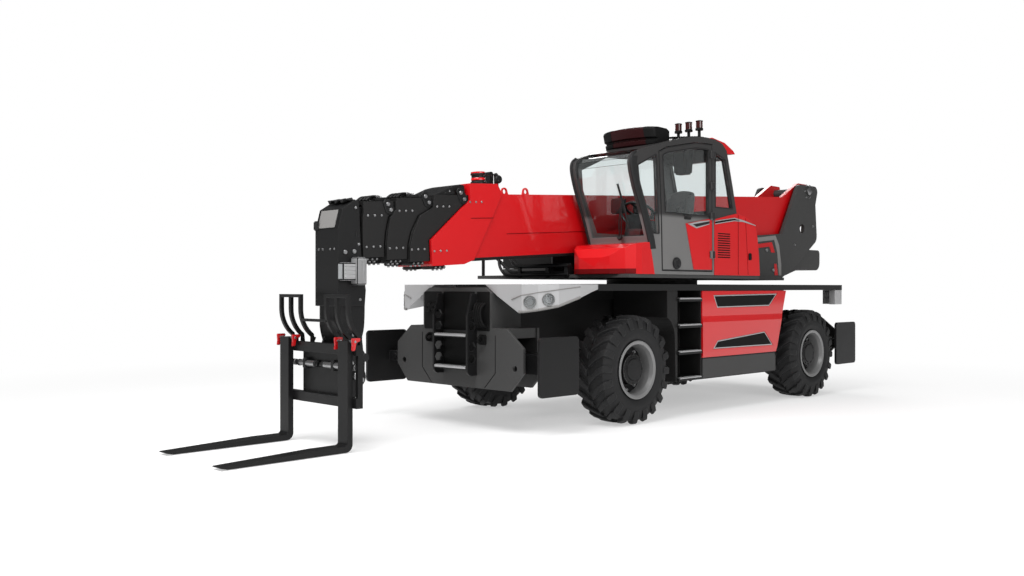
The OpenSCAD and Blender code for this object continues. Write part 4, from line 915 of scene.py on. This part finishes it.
def inset(outline, gap):
    """A convex outline drawn in by a gap on every side."""
    after = outline[1:] + outline[:1]
    turn = 1 if sum(a[0] * b[1] - b[0] * a[1] for a, b in zip(outline, after)) > 0 else -1
    lines = []
    for a, b in zip(outline, after):
        along = Vector((b[0] - a[0], b[1] - a[1])).normalized()
        lines.append((Vector(a) + Vector((-along.y, along.x)) * gap * turn, along))
    inner = []
    for (p, d), (q, e) in zip(lines[-1:] + lines[:-1], lines):
        step = ((q.x - p.x) * e.y - (q.y - p.y) * e.x) / (d.x * e.y - d.y * e.x)
        inner.append((p.x + d.x * step, p.y + d.y * step))
    return inner


CAB_LEFT = 1.215
CAB_RIGHT = 0.335
# The panels on the cab's left side stand out to here
SKIN_LEFT = 1.223
PILLAR = ((0.835, 0.17), (0.847, 0.231), (0.887, 0.369), (0.926, 0.481), (0.966, 0.594), (0.99, 0.681), (1.0, 0.744),
          (0.993, 0.788), (0.961, 0.819), (0.892, 0.85), (0.803, 0.881), (0.714, 0.912))
QUARTER = ((0.765, 0.28), (0.82, 0.28), (0.935, 0.6), (0.95, 0.73), (0.79, 0.82))
BACK_PANE = ((0.05, 0.5), (0.23, 0.5), (0.23, 0.9), (0.13, 0.86))
RIGHT_PANE = ((0.1, 0.3), (0.8, 0.3), (0.92, 0.6), (0.93, 0.74), (0.7, 0.86), (0.2, 0.9))
DOOR_PANE = ((0.3, 0.43), (0.71, 0.43), (0.735, 0.82), (0.69, 0.845), (0.42, 0.91), (0.3, 0.915))
DOOR_EDGE = ((0.265, 0.03), (0.735, 0.03), (0.745, 0.45), (0.765, 0.84), (0.7, 0.875), (0.42, 0.945), (0.265, 0.95))
# The door's hinges: their line, and the heights of their feet
HINGE_X, HINGE_Y = 0.438, 1.237
HINGES = (1.802, 2.25, 2.602, 2.97)
NOSE_EDGE = ((1.82, 0.34), (1.94, 0.405), (2.0, 0.525), (2.01, 0.755), (1.99, 0.955), (1.93, 1.125), (1.84, 1.2),
             (1.76, 1.215), (1.5, 1.215))
# Front of the roof visor's section, upwards: how far behind its foremost line, and at which share of its height
VISOR_FRONT = ((0.085, 0.0), (0.052, 0.1), (0.04, 0.28), (0.062, 0.33), (0.056, 0.4), (0.024, 0.44), (0.0, 0.86),
               (0.012, 0.95), (0.06, 1.0))
# From and to which share of the visor's width its smoked panel reaches
VISOR_PANEL = (0.22, 0.84)


def visor_span(shape, start, end, inset_by=0.0):
    """A span of the roof visor, given as shares of its width: a brow over a groove and a lower lip."""
    low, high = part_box("roof_visor")
    part = bmesh.new()
    rings = []
    count = 16
    base = low.z + 0.012
    for i in range(count + 1):
        share = start + (end - start) * i / count
        t = 2 * share - 1
        y = low.y + (high.y - low.y) * share
        front = high.x - inset_by - 0.06 * t * t - 0.03 * t ** 8
        top = high.z - inset_by - 0.018 * t * t
        rise = top - base
        ring = [(low.x, base), *((front - back, base + rise * level) for back, level in VISOR_FRONT),
                (low.x + 0.05, top - 0.004), (low.x, top - 0.03)]
        rings.append([part.verts.new((x, y, z)) for x, z in ring])
    skin(part, rings, capped=True)
    return shape.take(part, 0.003)


class TELEHANDLER_OT_cab_fittings(Operator):
    """Make the roof visor, seals, wiper, trim strips and controls of the cab"""

    bl_idname = "telehandler.cab_fittings"
    bl_label = "Cab fittings"

    def execute(self, context):
        first, last = VISOR_PANEL
        panel = visor_span(Shape(), first, last, 0.004)
        visor = panel.piece("visor_shell", "turret", "black_plastic", "smoked_plastic")
        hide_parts("roof_visor")
        ends = visor_span(visor_span(Shape(), 0.0, first), last, 1.0)
        ends.piece("visor_ends", "turret", "black_plastic", "matt_black")
        self.seals()
        self.trim()
        self.controls()
        return {"FINISHED"}

    def seals(self):
        """Window seals, the pillar's gaskets and the wiper."""
        seals = Shape()
        for y in (CAB_LEFT - 0.012, CAB_RIGHT + 0.012):
            seals.hose([cab_place(f, g, y) for f, g in PILLAR[:9]], 0.017)
        band = list(PILLAR[:8]) + [(f - 0.042, g + 0.004) for f, g in reversed(PILLAR[:8])]
        for y, thick in ((CAB_LEFT - 0.002, 0.006), (CAB_RIGHT + 0.002, -0.006)):
            seals.plate([(f * CAB_LENGTH, g * CAB_HEIGHT) for f, g in band], cab_place(0, 0, y), Vector((1, 0, 0)),
                        Vector((0, 0, 1)), Vector((0, thick, 0)), 0.002)
        for outline, y in ((QUARTER, CAB_LEFT), (BACK_PANE, CAB_LEFT), (RIGHT_PANE, CAB_RIGHT),
                           (BACK_PANE, CAB_RIGHT)):
            strip(seals, [cab_place(f, g, y) for f, g in outline], 0.008, closed=True)
        strip(seals, [cab_place(f, g, CAB_LEFT - 0.001) for f, g in DOOR_EDGE], 0.006, closed=True)
        seals.piece("cab_seals", "turret", "tyre_rubber")
        wiper = Shape()
        blade = ((0.872, 0.31), (0.905, 0.42), (0.94, 0.52), (0.972, 0.61))
        wiper.hose([cab_place(f + 0.011, g, 0.99) for f, g in blade], 0.012)
        foot = cab_place(0.868, 0.25, 0.84)
        button(wiper, foot, (0.9, 0, 0.44), 0.03, 0.03)
        for shift in (0.0, 0.03):
            wiper.hose([foot + Vector((0.02, shift, 0.01)), cab_place(0.915, 0.38, 0.9 + shift),
                        cab_place(0.946, 0.485, 0.985)], 0.006)
        wiper.piece("wiper", "turret", "black_plastic")

    def trim(self):
        """Strips and latch of the panels, painted shade along their seams and the nose cowl's foot, and the fittings
        of the roof.
        """
        silver = Shape()
        side_plate(silver, [(0.385, 2.205), (-0.02, 2.262), (-0.22, 2.262), (-0.5, 2.225), (-0.5, 2.237),
                            (-0.22, 2.285), (-0.02, 2.305), (0.385, 2.25)], SKIN_LEFT, 0.003)
        silver.piece("trim_strip", "turret", "silver_paint")
        dark = Shape()
        side_plate(dark, [(0.385, 2.215), (-0.02, 2.272), (-0.16, 2.274), (-0.02, 2.294), (0.385, 2.238)],
                   SKIN_LEFT, 0.005)
        dark.block(at(0.05, CAB_LEFT + 0.0002, 1.8), at(0.34, CAB_LEFT + 0.0016, 2.125), 0.0004)
        dark.block(at(-0.4, SKIN_LEFT - 0.002, 1.8), at(-0.335, SKIN_LEFT + 0.012, 1.885), 0.008)
        for y in (0.74, 0.89, 1.04):
            dark.spin([(0, 0.046), (0.022, 0.046), (0.028, 0.04)], at(0.44, y, 3.325), (0, 0, 1), 28)
            dark.rod(at(0.44, y, 3.18), at(0.44, y, 3.34), 0.018)
            dark.spin([(0, 0.043), (0.008, 0.043), (0.012, 0.03)], at(0.44, y, 3.43), (0, 0, 1), 28)
        for i in range(14):
            f = 0.24 + 0.026 * i
            g = 1.0 - max(0.0, f - 0.33) * 0.155
            dark.block(cab_place(f, g, 1.085), cab_place(f + 0.017, g + 0.012, 1.15), 0.004)
        side_plate(dark, [(0.25, 3.16), (0.47, 3.15), (0.44, 2.83), (0.29, 2.83)], 0.66, 0.18, 0.02)
        dark.piece("cab_dark_trim", "turret", "black_plastic", "matt_black")
        # Seam lines on the left side and a 55 mm band along the foot of the nose cowl, in the darker copy of the red:
        # painted shade in the seams and at the cowl's foot
        seams = Shape()
        strip(seams, [at(-0.33, SKIN_LEFT, 1.62), at(-0.3, SKIN_LEFT, 2.0), at(-0.27, SKIN_LEFT, 2.31)], 0.003)
        strip(seams, [at(-0.11, SKIN_LEFT, 1.62), at(-0.11, SKIN_LEFT, 2.34)], 0.004)
        for (x0, y0), (x1, y1) in zip(NOSE_EDGE[:6], NOSE_EDGE[1:7]):
            along = Vector((x1 - x0, y1 - y0, 0))
            out = Vector((along.y, -along.x, 0)).normalized()
            seams.plate([(0, 0), (along.length, 0), (along.length, 0.055), (0, 0.055)], at(x0, y0, 1.612),
                        along.normalized(), Vector((0, 0, 1)), out * 0.004, 0.001)
        seams.piece("cowl_seam_shade", "turret", "red_paint", "shaded_red")
        mirror = Shape()
        mirror.block(at(1.856, -1.218, 2.645), at(1.861, -1.022, 2.875), 0.002)
        mirror.piece("mirror_face", "turret", "chrome_rod")

    def controls(self):
        """Joysticks, display, pedals and the wheel's knob."""
        dark = Shape()
        for x, y, z in ((0.86, 0.45, 2.22), (0.8, 1.03, 2.18)):
            dark.spin([(0, 0.055), (0.02, 0.05), (0.05, 0.022), (0.06, 0.0)], at(x, y, z - 0.002), (0, 0, 1), 24)
            dark.hose([at(x, y, z), at(x + 0.01, y, z + 0.08), at(x + 0.03, y, z + 0.13)], 0.012)
            dark.spin([(0, 0.018), (0.03, 0.026), (0.08, 0.028), (0.11, 0.024), (0.12, 0.01)],
                      at(x + 0.022, y, z + 0.1), (0.25, 0, 1), 20)
            dark.block(at(x - 0.42, y - 0.055, z), at(x - 0.1, y + 0.055, z + 0.05), 0.02)
        dark.block(at(1.3, 0.42, 2.32), at(1.335, 0.64, 2.5), 0.014)
        dark.hose([at(1.31, 0.55, 2.34), at(1.32, 0.62, 2.25), at(1.31, 0.68, 2.2)], 0.014)
        for y in (0.63, 0.92):
            dark.block(at(1.36, y, 1.7), at(1.4, y + 0.09, 1.86), 0.012)
            dark.rod(at(1.4, y + 0.045, 1.78), at(1.47, y + 0.045, 1.67), 0.012)
        dark.rod(at(1.1, 0.85, 2.25), at(1.09, 0.85, 2.34), 0.022)
        dark.piece("cab_controls", "turret", "black_plastic")
        screen = Shape()
        screen.block(at(1.297, 0.435, 2.335), at(1.301, 0.625, 2.485), 0.002)
        screen.piece("cab_display", "turret", "black_plastic", "gloss_plastic")


class TELEHANDLER_OT_door_fittings(Operator):
    """Make the seals, handle, hinges and trim of the cab door"""

    bl_idname = "telehandler.door_fittings"
    bl_label = "Door fittings"

    def execute(self, context):
        dark = Shape()
        strip(dark, [cab_place(f, g, CAB_LEFT) for f, g in DOOR_PANE], 0.009, closed=True)
        dark.block(at(0.86, CAB_LEFT - 0.002, 2.235), at(0.99, CAB_LEFT + 0.007, 2.305), 0.006)
        dark.hose([at(0.87, CAB_LEFT, 2.27), at(0.885, CAB_LEFT + 0.03, 2.27), at(0.965, CAB_LEFT + 0.03, 2.27),
                   at(0.98, CAB_LEFT, 2.27)], 0.011)
        dark.spin([(0, 0.066), (0.02, 0.066), (0.03, 0.058), (0.03, 0.04), (0.02, 0.034), (0.02, 0.0)],
                  at(1.14, CAB_LEFT - 0.002, 1.735), (0, 1, 0), 32)
        for z in HINGES:
            dark.rod(at(HINGE_X, HINGE_Y, z + 0.004), at(HINGE_X, HINGE_Y, z + 0.086), 0.021)
            dark.block(at(0.445, CAB_LEFT, z + 0.006), at(0.5, CAB_LEFT + 0.014, z + 0.084), 0.008)
        side_plate(dark, [(0.84, 2.186), (0.765, 2.158), (0.5, 2.21), (0.5, 2.238)], SKIN_LEFT, 0.005)
        dark.piece("door_dark_trim", "door", "black_plastic")
        silver = Shape()
        side_plate(silver, [(0.94, 2.187), (0.76, 2.141), (0.5, 2.2), (0.5, 2.25), (0.7, 2.228)], SKIN_LEFT, 0.003)
        silver.piece("door_trim_strip", "door", "silver_paint")
        edge = Shape()
        side_plate(edge, [(0.444, 1.67), (0.498, 1.67), (0.498, 2.262), (0.444, 2.27)], CAB_LEFT, 0.0075)
        edge.piece("door_edge_strip", "door", "red_paint")
        return {"FINISHED"}


def pillow(shape, centre, half, lean=0.0, round_share=0.4):
    """A crowned pad: a box drawn towards a ball, leant back about the cross axis."""
    part = bmesh.new()
    bmesh.ops.create_cube(part, size=2)
    bmesh.ops.subdivide_edges(part, edges=part.edges, cuts=14, use_grid_fill=True)
    for vert in part.verts:
        u, v, w = vert.co
        ball = Vector((u * math.sqrt(1 - v * v / 2 - w * w / 2 + v * v * w * w / 3),
                       v * math.sqrt(1 - u * u / 2 - w * w / 2 + u * u * w * w / 3),
                       w * math.sqrt(1 - u * u / 2 - v * v / 2 + u * u * v * v / 3)))
        mixed = vert.co.lerp(ball, round_share)
        vert.co = (mixed.x * half[0], mixed.y * half[1], mixed.z * half[2])
    return shape.take(part, 0, Matrix.Translation(centre) @ Matrix.Rotation(lean, 4, "Y"))


# Stuffing of the seat's pads: size of their mesh, pressure inside it, and frames of simulation
PAD_MESH, PAD_PRESSURE, PAD_FRAMES = 0.008, 4, 20


def stuffed(obj, most):
    """Swells a pad as cloth under pressure, no point moving further than a cap, and smooths it once."""
    bpy.context.view_layer.objects.active = obj
    remesh = obj.modifiers.new("remesh", "REMESH")
    remesh.voxel_size = PAD_MESH
    bpy.ops.object.modifier_apply(modifier=remesh.name)
    before = [v.co.copy() for v in obj.data.vertices]
    cloth = obj.modifiers.new("cloth", "CLOTH")
    cloth.settings.use_pressure = True
    cloth.settings.uniform_pressure_force = PAD_PRESSURE
    cloth.settings.effector_weights.gravity = 0
    for step in range(1, PAD_FRAMES + 1):
        bpy.context.scene.frame_set(step)
    bpy.ops.object.modifier_apply(modifier=cloth.name)
    bpy.context.scene.frame_set(1)
    for vert, start in zip(obj.data.vertices, before):
        move = vert.co - start
        if move.length > most:
            vert.co = start + move.normalized() * most
    smooth = obj.modifiers.new("smooth", "SUBSURF")
    smooth.levels = smooth.render_levels = 1
    bpy.ops.object.modifier_apply(modifier=smooth.name)
    for polygon in obj.data.polygons:
        polygon.use_smooth = True


class TELEHANDLER_OT_seat(Operator):
    """Make the driver's seat: cushion, back and sprung base"""

    bl_idname = "telehandler.seat"
    bl_label = "Seat"

    def execute(self, context):
        y = 0.745
        cushion = Shape()
        pillow(cushion, at(0.68, y, 2.028), (0.27, 0.2, 0.05))
        for side in SIDES:
            pillow(cushion, at(0.68, y + side * 0.16, 2.04), (0.25, 0.035, 0.042))
        cushion = cushion.piece("seat_cushion", "turret", "seat_cloth")
        back = Shape()
        lean = -math.atan2(0.095, 0.6)
        pillow(back, at(0.413, y, 2.36), (0.045, 0.19, 0.285), lean)
        for side in SIDES:
            pillow(back, at(0.435, y + side * 0.155, 2.34), (0.045, 0.035, 0.24), lean)
        back = back.piece("seat_back", "turret", "seat_cloth")
        for pad in (cushion, back):
            stuffed(pad, 0.01)
        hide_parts("seat")
        base = Shape()
        base.block(at(0.42, y - 0.19, 1.66), at(0.88, y + 0.19, 1.72), 0.012)
        for k in range(5):
            grow = 0.012 * (k % 2)
            base.block(at(0.47 - grow, y - 0.16 - grow, 1.72 + 0.042 * k),
                       at(0.83 + grow, y + 0.16 + grow, 1.764 + 0.042 * k), 0.012)
        base.block(at(0.41, y - 0.2, 1.93), at(0.94, y + 0.2, 1.975), 0.015)
        base.hose([at(0.47, y, 1.95), at(0.4, y, 1.99), at(0.375, y, 2.1), at(0.36, y, 2.3)], 0.03)
        base.piece("seat_base", "turret", "black_plastic")
        seams = Shape()
        for k in (-1, 0, 1):
            z = 2.36 + 0.13 * k
            strip(seams, [at(0.46 + 0.002 * abs(k), y - 0.11, z), at(0.46, y + 0.11, z)], 0.003)
        seams.piece("seat_seams", "turret", "seat_cloth")
        return {"FINISHED"}


# Fold above the lamps and lower lip of the front wings, drawn as darker grey strips: painted shade under the fold and
# on the lip's underside
WING_CREASE = ((3.314, 0.8, 1.345), (3.3, 0.93, 1.387), (3.2, 1.06, 1.414), (3.02, 1.17, 1.441), (2.75, 1.216, 1.47))
WING_LIP = ((3.302, 0.89, 1.224), (3.292, 0.93, 1.224), (3.195, 1.055, 1.244), (3.015, 1.163, 1.281),
            (2.75, 1.208, 1.366))


class TELEHANDLER_OT_carrier_front(Operator):
    """Make the hooks, hoses, treads and lamp rims of the carrier's front, and the panels and wing edges that paint
    shade in its recesses and along its wings
    """

    bl_idname = "telehandler.carrier_front"
    bl_label = "Carrier front"

    def execute(self, context):
        face = 3.345
        # Near-black sheets on the front face, over its recesses and in the gap between the steps, are painted shade;
        # the hooks, hoses and sockets are black parts
        dark = Shape()
        for y0, y1 in ((-0.52, -0.235), (-0.2, 0.295), (0.33, 0.52)):
            dark.block(at(face, y0, 1.02), at(face + 0.006, y1, 1.42), 0.004)
        dark.block(at(face, -0.2, 0.66), at(face + 0.005, 0.295, 0.94), 0.003)
        for y in (-0.4, 0.42):
            dark.ring(at(face + 0.04, y, 0.93), (0, 1, 0), 0.035, 0.013)
            dark.block(at(face - 0.01, y - 0.05, 0.88), at(face + 0.02, y + 0.05, 0.98), 0.006)
        for k, y in enumerate((0.36, 0.39, 0.42, 0.45)):
            dark.hose([at(face, y, 1.3), at(face + 0.06, y, 1.28 - 0.01 * k), at(face + 0.075, y + 0.01, 1.16),
                       at(face + 0.05, y + 0.03, 1.08), at(face, y + 0.03, 1.06)], sizes().hose * 0.9)
        for y in (-0.33, -0.43):
            dark.spin([(0, 0.05), (0.03, 0.055), (0.04, 0.045), (0.04, 0.02), (0.02, 0.0)], at(face, y, 1.25),
                      (1, 0, 0), 28)
        strip(dark, [at(face, -0.56, 0.98), at(face, -0.56, 0.6), at(face, -0.4, 0.44)], 0.004)
        strip(dark, [at(face, 0.6, 0.98), at(face, 0.6, 0.6), at(face, 0.44, 0.44)], 0.004)
        dark.piece("front_fittings_and_recess_shade", "chassis", "black_paint", "matt_black")
        bright = Shape()
        for z in (0.65, 0.98):
            bright.block(at(face + 0.09, -0.2, z - 0.022), at(face + 0.133, 0.295, z + 0.004), 0.003)
            for k in range(16):
                y = -0.185 + 0.03 * k
                bright.block(at(face + 0.094, y, z), at(face + 0.129, y + 0.012, z + 0.01), 0.002)
        bright.piece("front_treads", "chassis", "silver_paint")
        rims = Shape()
        for x, y, z, yaw in ((3.25, 0.995, 1.32, 37.6), (3.11, 1.115, 1.343, 58.6)):
            for side in SIDES:
                axis = Vector((math.cos(math.radians(yaw)), side * math.sin(math.radians(yaw)), 0))
                rims.ring(at(x, side * y, z) + axis * 0.004, axis, 0.061, 0.005)
                rims.ring(at(x, side * y, z) + axis * 0.003, axis, 0.036, 0.004)
        rims.piece("lamp_rims", "chassis", "silver_paint", "pale_sheet")
        # Darker grey strips along the wings' fold and lower lip: painted shade
        edges = Shape()
        for side in SIDES:
            strip(edges, places(WING_CREASE, side), 0.006)
            strip(edges, places(WING_LIP, side), 0.016)
        edges.piece("wing_edge_shade", "chassis", "silver_paint", "pale_sheet")
        return {"FINISHED"}


class TELEHANDLER_OT_carrier_sides(Operator):
    """Make the inlays, step edges and skirts of the carrier's sides"""

    bl_idname = "telehandler.carrier_sides"
    bl_label = "Carrier sides"

    def execute(self, context):
        inlays = (([(0.40, 1.376), (-1.04, 1.39), (-0.84, 1.23), (0.32, 1.222)], 1.204),
                  ([(0.42, 0.74), (0.32, 0.84), (-0.72, 0.915), (-0.92, 0.734)], 1.212))
        silver = Shape()
        dark = Shape()
        skirt = Shape()
        bright = Shape()
        for side in SIDES:
            for outline, floor in inlays:
                side_plate(silver, inset(outline, 0.003), side * floor, side * 0.005)
                side_plate(dark, inset(outline, 0.016), side * (floor + 0.004), side * 0.004)
            side_plate(skirt, [(0.61, 0.41), (0.61, 0.64), (-0.97, 0.64), (-1.0, 0.6), (-1.0, 0.41)],
                       side * 1.195, side * 0.012, 0.004)
            for i in range(4):
                z = 0.44 + 0.3 * i
                bright.block(at(0.655, side * 1.19, z - 0.012), at(1.075, side * 1.223, z + 0.003), 0.003)
                for k in range(13):
                    x = 0.67 + 0.031 * k
                    bright.block(at(x, side * 1.17, z), at(x + 0.012, side * 1.222, z + 0.008), 0.002)
        silver.piece("side_outlines", "chassis", "silver_paint")
        dark.piece("side_inlays", "chassis", "black_plastic", "matt_black")
        skirt.piece("side_skirts", "chassis", "anthracite_paint", "slate_coat")
        bright.piece("step_edges", "chassis", "silver_paint")
        return {"FINISHED"}


class TELEHANDLER_OT_turret_fittings(Operator):
    """Make the stripes, pins and hoses of the turret, and the painted shade in its hood's vent slots"""

    bl_idname = "telehandler.turret_fittings"
    bl_label = "Turret fittings"

    def execute(self, context):
        cheek = 0.35
        pin_x, pin_z = -3.4, 2.92
        pale = Shape()
        stripes = Shape()
        bright = Shape()
        for side in SIDES:
            y = side * cheek
            axis = (0, side, 0)
            side_plate(pale, [(-1.86, 2.16), (-2.46, 2.22), (-2.56, 2.08), (-2.62, 1.8), (-2.62, 1.64), (-2.55, 1.64),
                              (-2.5, 1.98), (-2.42, 2.15), (-1.88, 2.1)], y, side * 0.003)
            side_plate(stripes, [(-1.86, 2.07), (-2.36, 2.12), (-2.44, 1.97), (-2.34, 1.965), (-2.29, 2.05),
                                 (-1.87, 2.01)], y, side * 0.004)
            side_plate(stripes, [(-2.42, 1.81), (-2.49, 1.81), (-2.53, 1.64), (-2.43, 1.64)], y, side * 0.004)
            for x, z in ((-2.216, 2.0), (-2.393, 1.717)):
                button(bright, at(x, y, z), axis, 0.026, 0.014)
            button(bright, at(pin_x, side * (cheek + 0.02), pin_z), axis, 0.052, 0.012)
            for c, s in turns(6):
                bright.bolt(at(pin_x + 0.1 * c, y, pin_z + 0.1 * s), axis, 0.012)
            bright.bolt(at(-3.55, y, 2.4), axis, 0.014)
            bright.bolt(at(-3.0, y, 2.1), axis, 0.014)
        pale.piece("cheek_bands", "turret", "silver_paint", "pale_sheet")
        stripes.piece("cheek_stripes", "turret", "red_paint")
        bright.piece("turret_pins", "turret", "galvanised_steel")
        dark = Shape()
        for k, y in enumerate((-0.2, -0.12, -0.04, 0.04, 0.12, 0.2)):
            dark.hose([at(-3.6, y, 2.0), at(-3.72, y, 2.15), at(-3.78, y, 2.4 + 0.01 * k), at(-3.72, y, 2.6),
                       at(-3.62, y, 2.68)], sizes().hose)
        for x in (-1.2, -0.6, 0.0, 0.6):
            dark.block(at(x, -0.37, 1.62), at(x + 0.08, -0.33, 1.7), 0.006)
        dark.hose(places(((-1.5, -0.345, 1.66), (-0.8, -0.34, 1.65), (0.2, -0.345, 1.66), (1.2, -0.34, 1.66))), 0.018)
        dark.hose(places(((-1.5, -0.345, 1.7), (-0.8, -0.34, 1.69), (0.2, -0.345, 1.7), (1.2, -0.34, 1.7))), 0.014)
        dark.piece("turret_hoses", "turret", "tyre_rubber")
        rails = Shape()
        rails.hose(places(((1.93, -0.84, 1.8), (1.955, -0.79, 1.71), (1.966, -0.7, 1.63), (1.968, -0.55, 1.612),
                           (1.968, -0.1, 1.61), (1.968, 0.34, 1.61))), 0.018)
        rails.hose(places(((1.94, -0.6, 1.78), (1.96, -0.55, 1.735), (1.966, -0.45, 1.715), (1.968, -0.1, 1.71),
                           (1.968, 0.34, 1.71))), 0.016)
        for y in (-0.45, 0.0, 0.3):
            rails.block(at(1.94, y - 0.025, 1.575), at(1.97, y + 0.025, 1.725), 0.006)
        rails.piece("turret_rails", "turret", "black_paint")
        # Near-black blocks in the hood's vent slots: painted shade inside the slots
        vents = Shape()
        for i in range(12):
            x = -1.45 + 0.055 * i
            vents.block(at(x, -1.219, 1.82), at(x + 0.028, -1.213, 2.1), 0.004)
        for x in (-0.4, 0.9):
            vents.block(at(x, -1.222, 1.75), at(x + 0.14, -1.212, 1.8), 0.006)
        vents.piece("hood_vent_shade", "hood", "black_plastic", "matt_black")
        return {"FINISHED"}


class TELEHANDLER_OT_undercarriage(Operator):
    """Make the steering cylinders, their rods and the bolts of the axles"""

    bl_idname = "telehandler.undercarriage"
    bl_label = "Undercarriage"

    def execute(self, context):
        dark = Shape()
        bright = Shape()
        axle_x, axle_z = 1.87, 0.585
        for end in SIDES:
            x = end * axle_x
            dark.rod(at(x - end * 0.19, -0.3, 0.6), at(x - end * 0.19, 0.3, 0.6), 0.045, 28)
            for y in (-0.2, 0.2):
                dark.block(at(x - end * 0.2, y - 0.03, 0.56), at(x - end * 0.08, y + 0.03, 0.64), 0.008)
            for side in SIDES:
                bright.rod(at(x - end * 0.19, side * 0.3, 0.6), at(x - end * 0.19, side * 0.5, 0.6), 0.022, 24)
            for c, s in turns(10):
                bright.bolt(at(x + end * 0.19, 0.15 * c, axle_z + 0.15 * s), (end, 0, 0), 0.011)
        dark.piece("steering_cylinders", "chassis", "axle_paint")
        bright.piece("steering_rods", "chassis", "galvanised_steel")
        return {"FINISHED"}


class TELEHANDLER_OT_stage(Operator):
    """Set the floor, the light and the camera"""

    bl_idname = "telehandler.stage"
    bl_label = "Studio"

    def execute(self, context):
        studio = context.scene.telehandler_studio
        floor_plane()
        studio_world(studio.sky)
        softbox("key_light", at(7, 1, 8), at(1, 0, 1.2), (7, 5), studio.key)
        softbox("fill_light", at(3, 10, 5), at(0, 0, 1.2), (8, 4), studio.fill)
        softbox("back_light", at(-8, -6, 7), at(0, 0, 1.5), (6, 4), studio.fill)
        camera = bpy.data.cameras.new("camera")
        camera.sensor_width = 36
        camera.lens = studio.lens
        camera.clip_end = 200
        view = bpy.data.objects.new("camera", camera)
        view.location = at(*studio.eye)
        view.rotation_euler = Vector(studio.heading).to_track_quat("-Z", "Y").to_euler()
        context.scene.collection.objects.link(view)
        context.scene.camera = view
        context.scene.view_settings.view_transform = "Standard"
        return {"FINISHED"}


def floor_plane():
    """A wide pale floor that fades into the background away from the machine."""
    part = bmesh.new()
    bmesh.ops.create_circle(part, cap_ends=True, radius=90, segments=64)
    mesh = bpy.data.meshes.new("floor")
    part.to_mesh(mesh)
    part.free()
    obj = bpy.data.objects.new("floor", mesh)
    bpy.context.scene.collection.objects.link(obj)
    material, tree, shader = new_material("studio_floor")
    fill(shader, Base_Color=(*paints().floor, 1), Roughness=0.9, Specular_IOR_Level=0.1)
    glow = node(tree, "ShaderNodeEmission", Color=(1, 1, 1, 1), Strength=1.0)
    place = node(tree, "ShaderNodeTexCoord")
    far = node(tree, "ShaderNodeVectorMath", operation="LENGTH")
    fade = node(tree, "ShaderNodeMapRange", interpolation_type="SMOOTHSTEP", From_Min=4.0, From_Max=11.0, To_Min=0.45)
    mixed = node(tree, "ShaderNodeMixShader")
    out = tree.nodes["Material Output"]
    join(tree, (place, "Object", far, 0), (far, "Value", fade, "Value"), (fade, "Result", mixed, "Fac"),
         (shader, "BSDF", mixed, 1), (glow, "Emission", mixed, 2), (mixed, "Shader", out, "Surface"))
    mesh.materials.append(material)


def studio_world(strength):
    """Even light from all round, white where the camera and glass look at it and dim in reflections."""
    world = bpy.data.worlds.new("studio")
    bpy.context.scene.world = world
    world.use_nodes = True
    tree = world.node_tree
    back = tree.nodes["Background"]
    fill(back, Color=(1, 1, 1, 1))
    ray = node(tree, "ShaderNodeLightPath")
    clear = node(tree, "ShaderNodeMath", operation="MAXIMUM")
    mirrored = node(tree, "ShaderNodeMapRange", To_Min=strength, To_Max=0.1)
    level = node(tree, "ShaderNodeMapRange", To_Max=1.0)
    join(tree, (ray, "Is Camera Ray", clear, 0), (ray, "Is Transmission Ray", clear, 1),
         (ray, "Is Glossy Ray", mirrored, "Value"), (mirrored, "Result", level, "To Min"), (clear, 0, level, "Value"),
         (level, "Result", back, "Strength"))


def softbox(name, place, target, size, power):
    """A large soft lamp aimed at a point."""
    lamp = bpy.data.lights.new(name, "AREA")
    lamp.shape = "RECTANGLE"
    lamp.size, lamp.size_y = size
    lamp.energy = power
    obj = bpy.data.objects.new(name, lamp)
    obj.location = place
    obj.rotation_euler = (target - place).to_track_quat("-Z", "Y").to_euler()
    bpy.context.scene.collection.objects.link(obj)


OPERATORS = (
    TELEHANDLER_OT_stage,
    TELEHANDLER_OT_paint,
    TELEHANDLER_OT_tyres,
    TELEHANDLER_OT_hubs,
    TELEHANDLER_OT_boom_fittings,
    TELEHANDLER_OT_head_fittings,
    TELEHANDLER_OT_carriage_fittings,
    TELEHANDLER_OT_cab_fittings,
    TELEHANDLER_OT_door_fittings,
    TELEHANDLER_OT_seat,
    TELEHANDLER_OT_carrier_front,
    TELEHANDLER_OT_carrier_sides,
    TELEHANDLER_OT_turret_fittings,
    TELEHANDLER_OT_undercarriage,
)


class TELEHANDLER_PT_panel(Panel):
    """Lists the steps that dress the machine"""

    bl_label = "Telehandler"
    bl_idname = "TELEHANDLER_PT_panel"
    bl_space_type = "VIEW_3D"
    bl_region_type = "UI"
    bl_category = "Telehandler"

    def draw(self, context):
        for step in OPERATORS:
            self.layout.operator(step.bl_idname)
        for values in (context.scene.telehandler_paints, context.scene.telehandler_sizes,
                       context.scene.telehandler_studio):
            box = self.layout.box()
            for name in values.__annotations__:
                box.prop(values, name)


CLASSES = (Paints, Sizes, Studio, *OPERATORS, TELEHANDLER_PT_panel)


def register():
    """Registers the classes and their settings."""
    for cls in CLASSES:
        bpy.utils.register_class(cls)
    bpy.types.Scene.telehandler_paints = PointerProperty(type=Paints)
    bpy.types.Scene.telehandler_sizes = PointerProperty(type=Sizes)
    bpy.types.Scene.telehandler_studio = PointerProperty(type=Studio)


def unregister():
    """Removes the classes and their settings."""
    del bpy.types.Scene.telehandler_paints
    del bpy.types.Scene.telehandler_sizes
    del bpy.types.Scene.telehandler_studio
    for cls in reversed(CLASSES):
        bpy.utils.unregister_class(cls)


def main():
    """Dresses the machine step by step."""
    register()
    for step in OPERATORS:
        area, name = step.bl_idname.split(".")
        getattr(getattr(bpy.ops, area), name)()


if __name__ == "__main__":
    main()
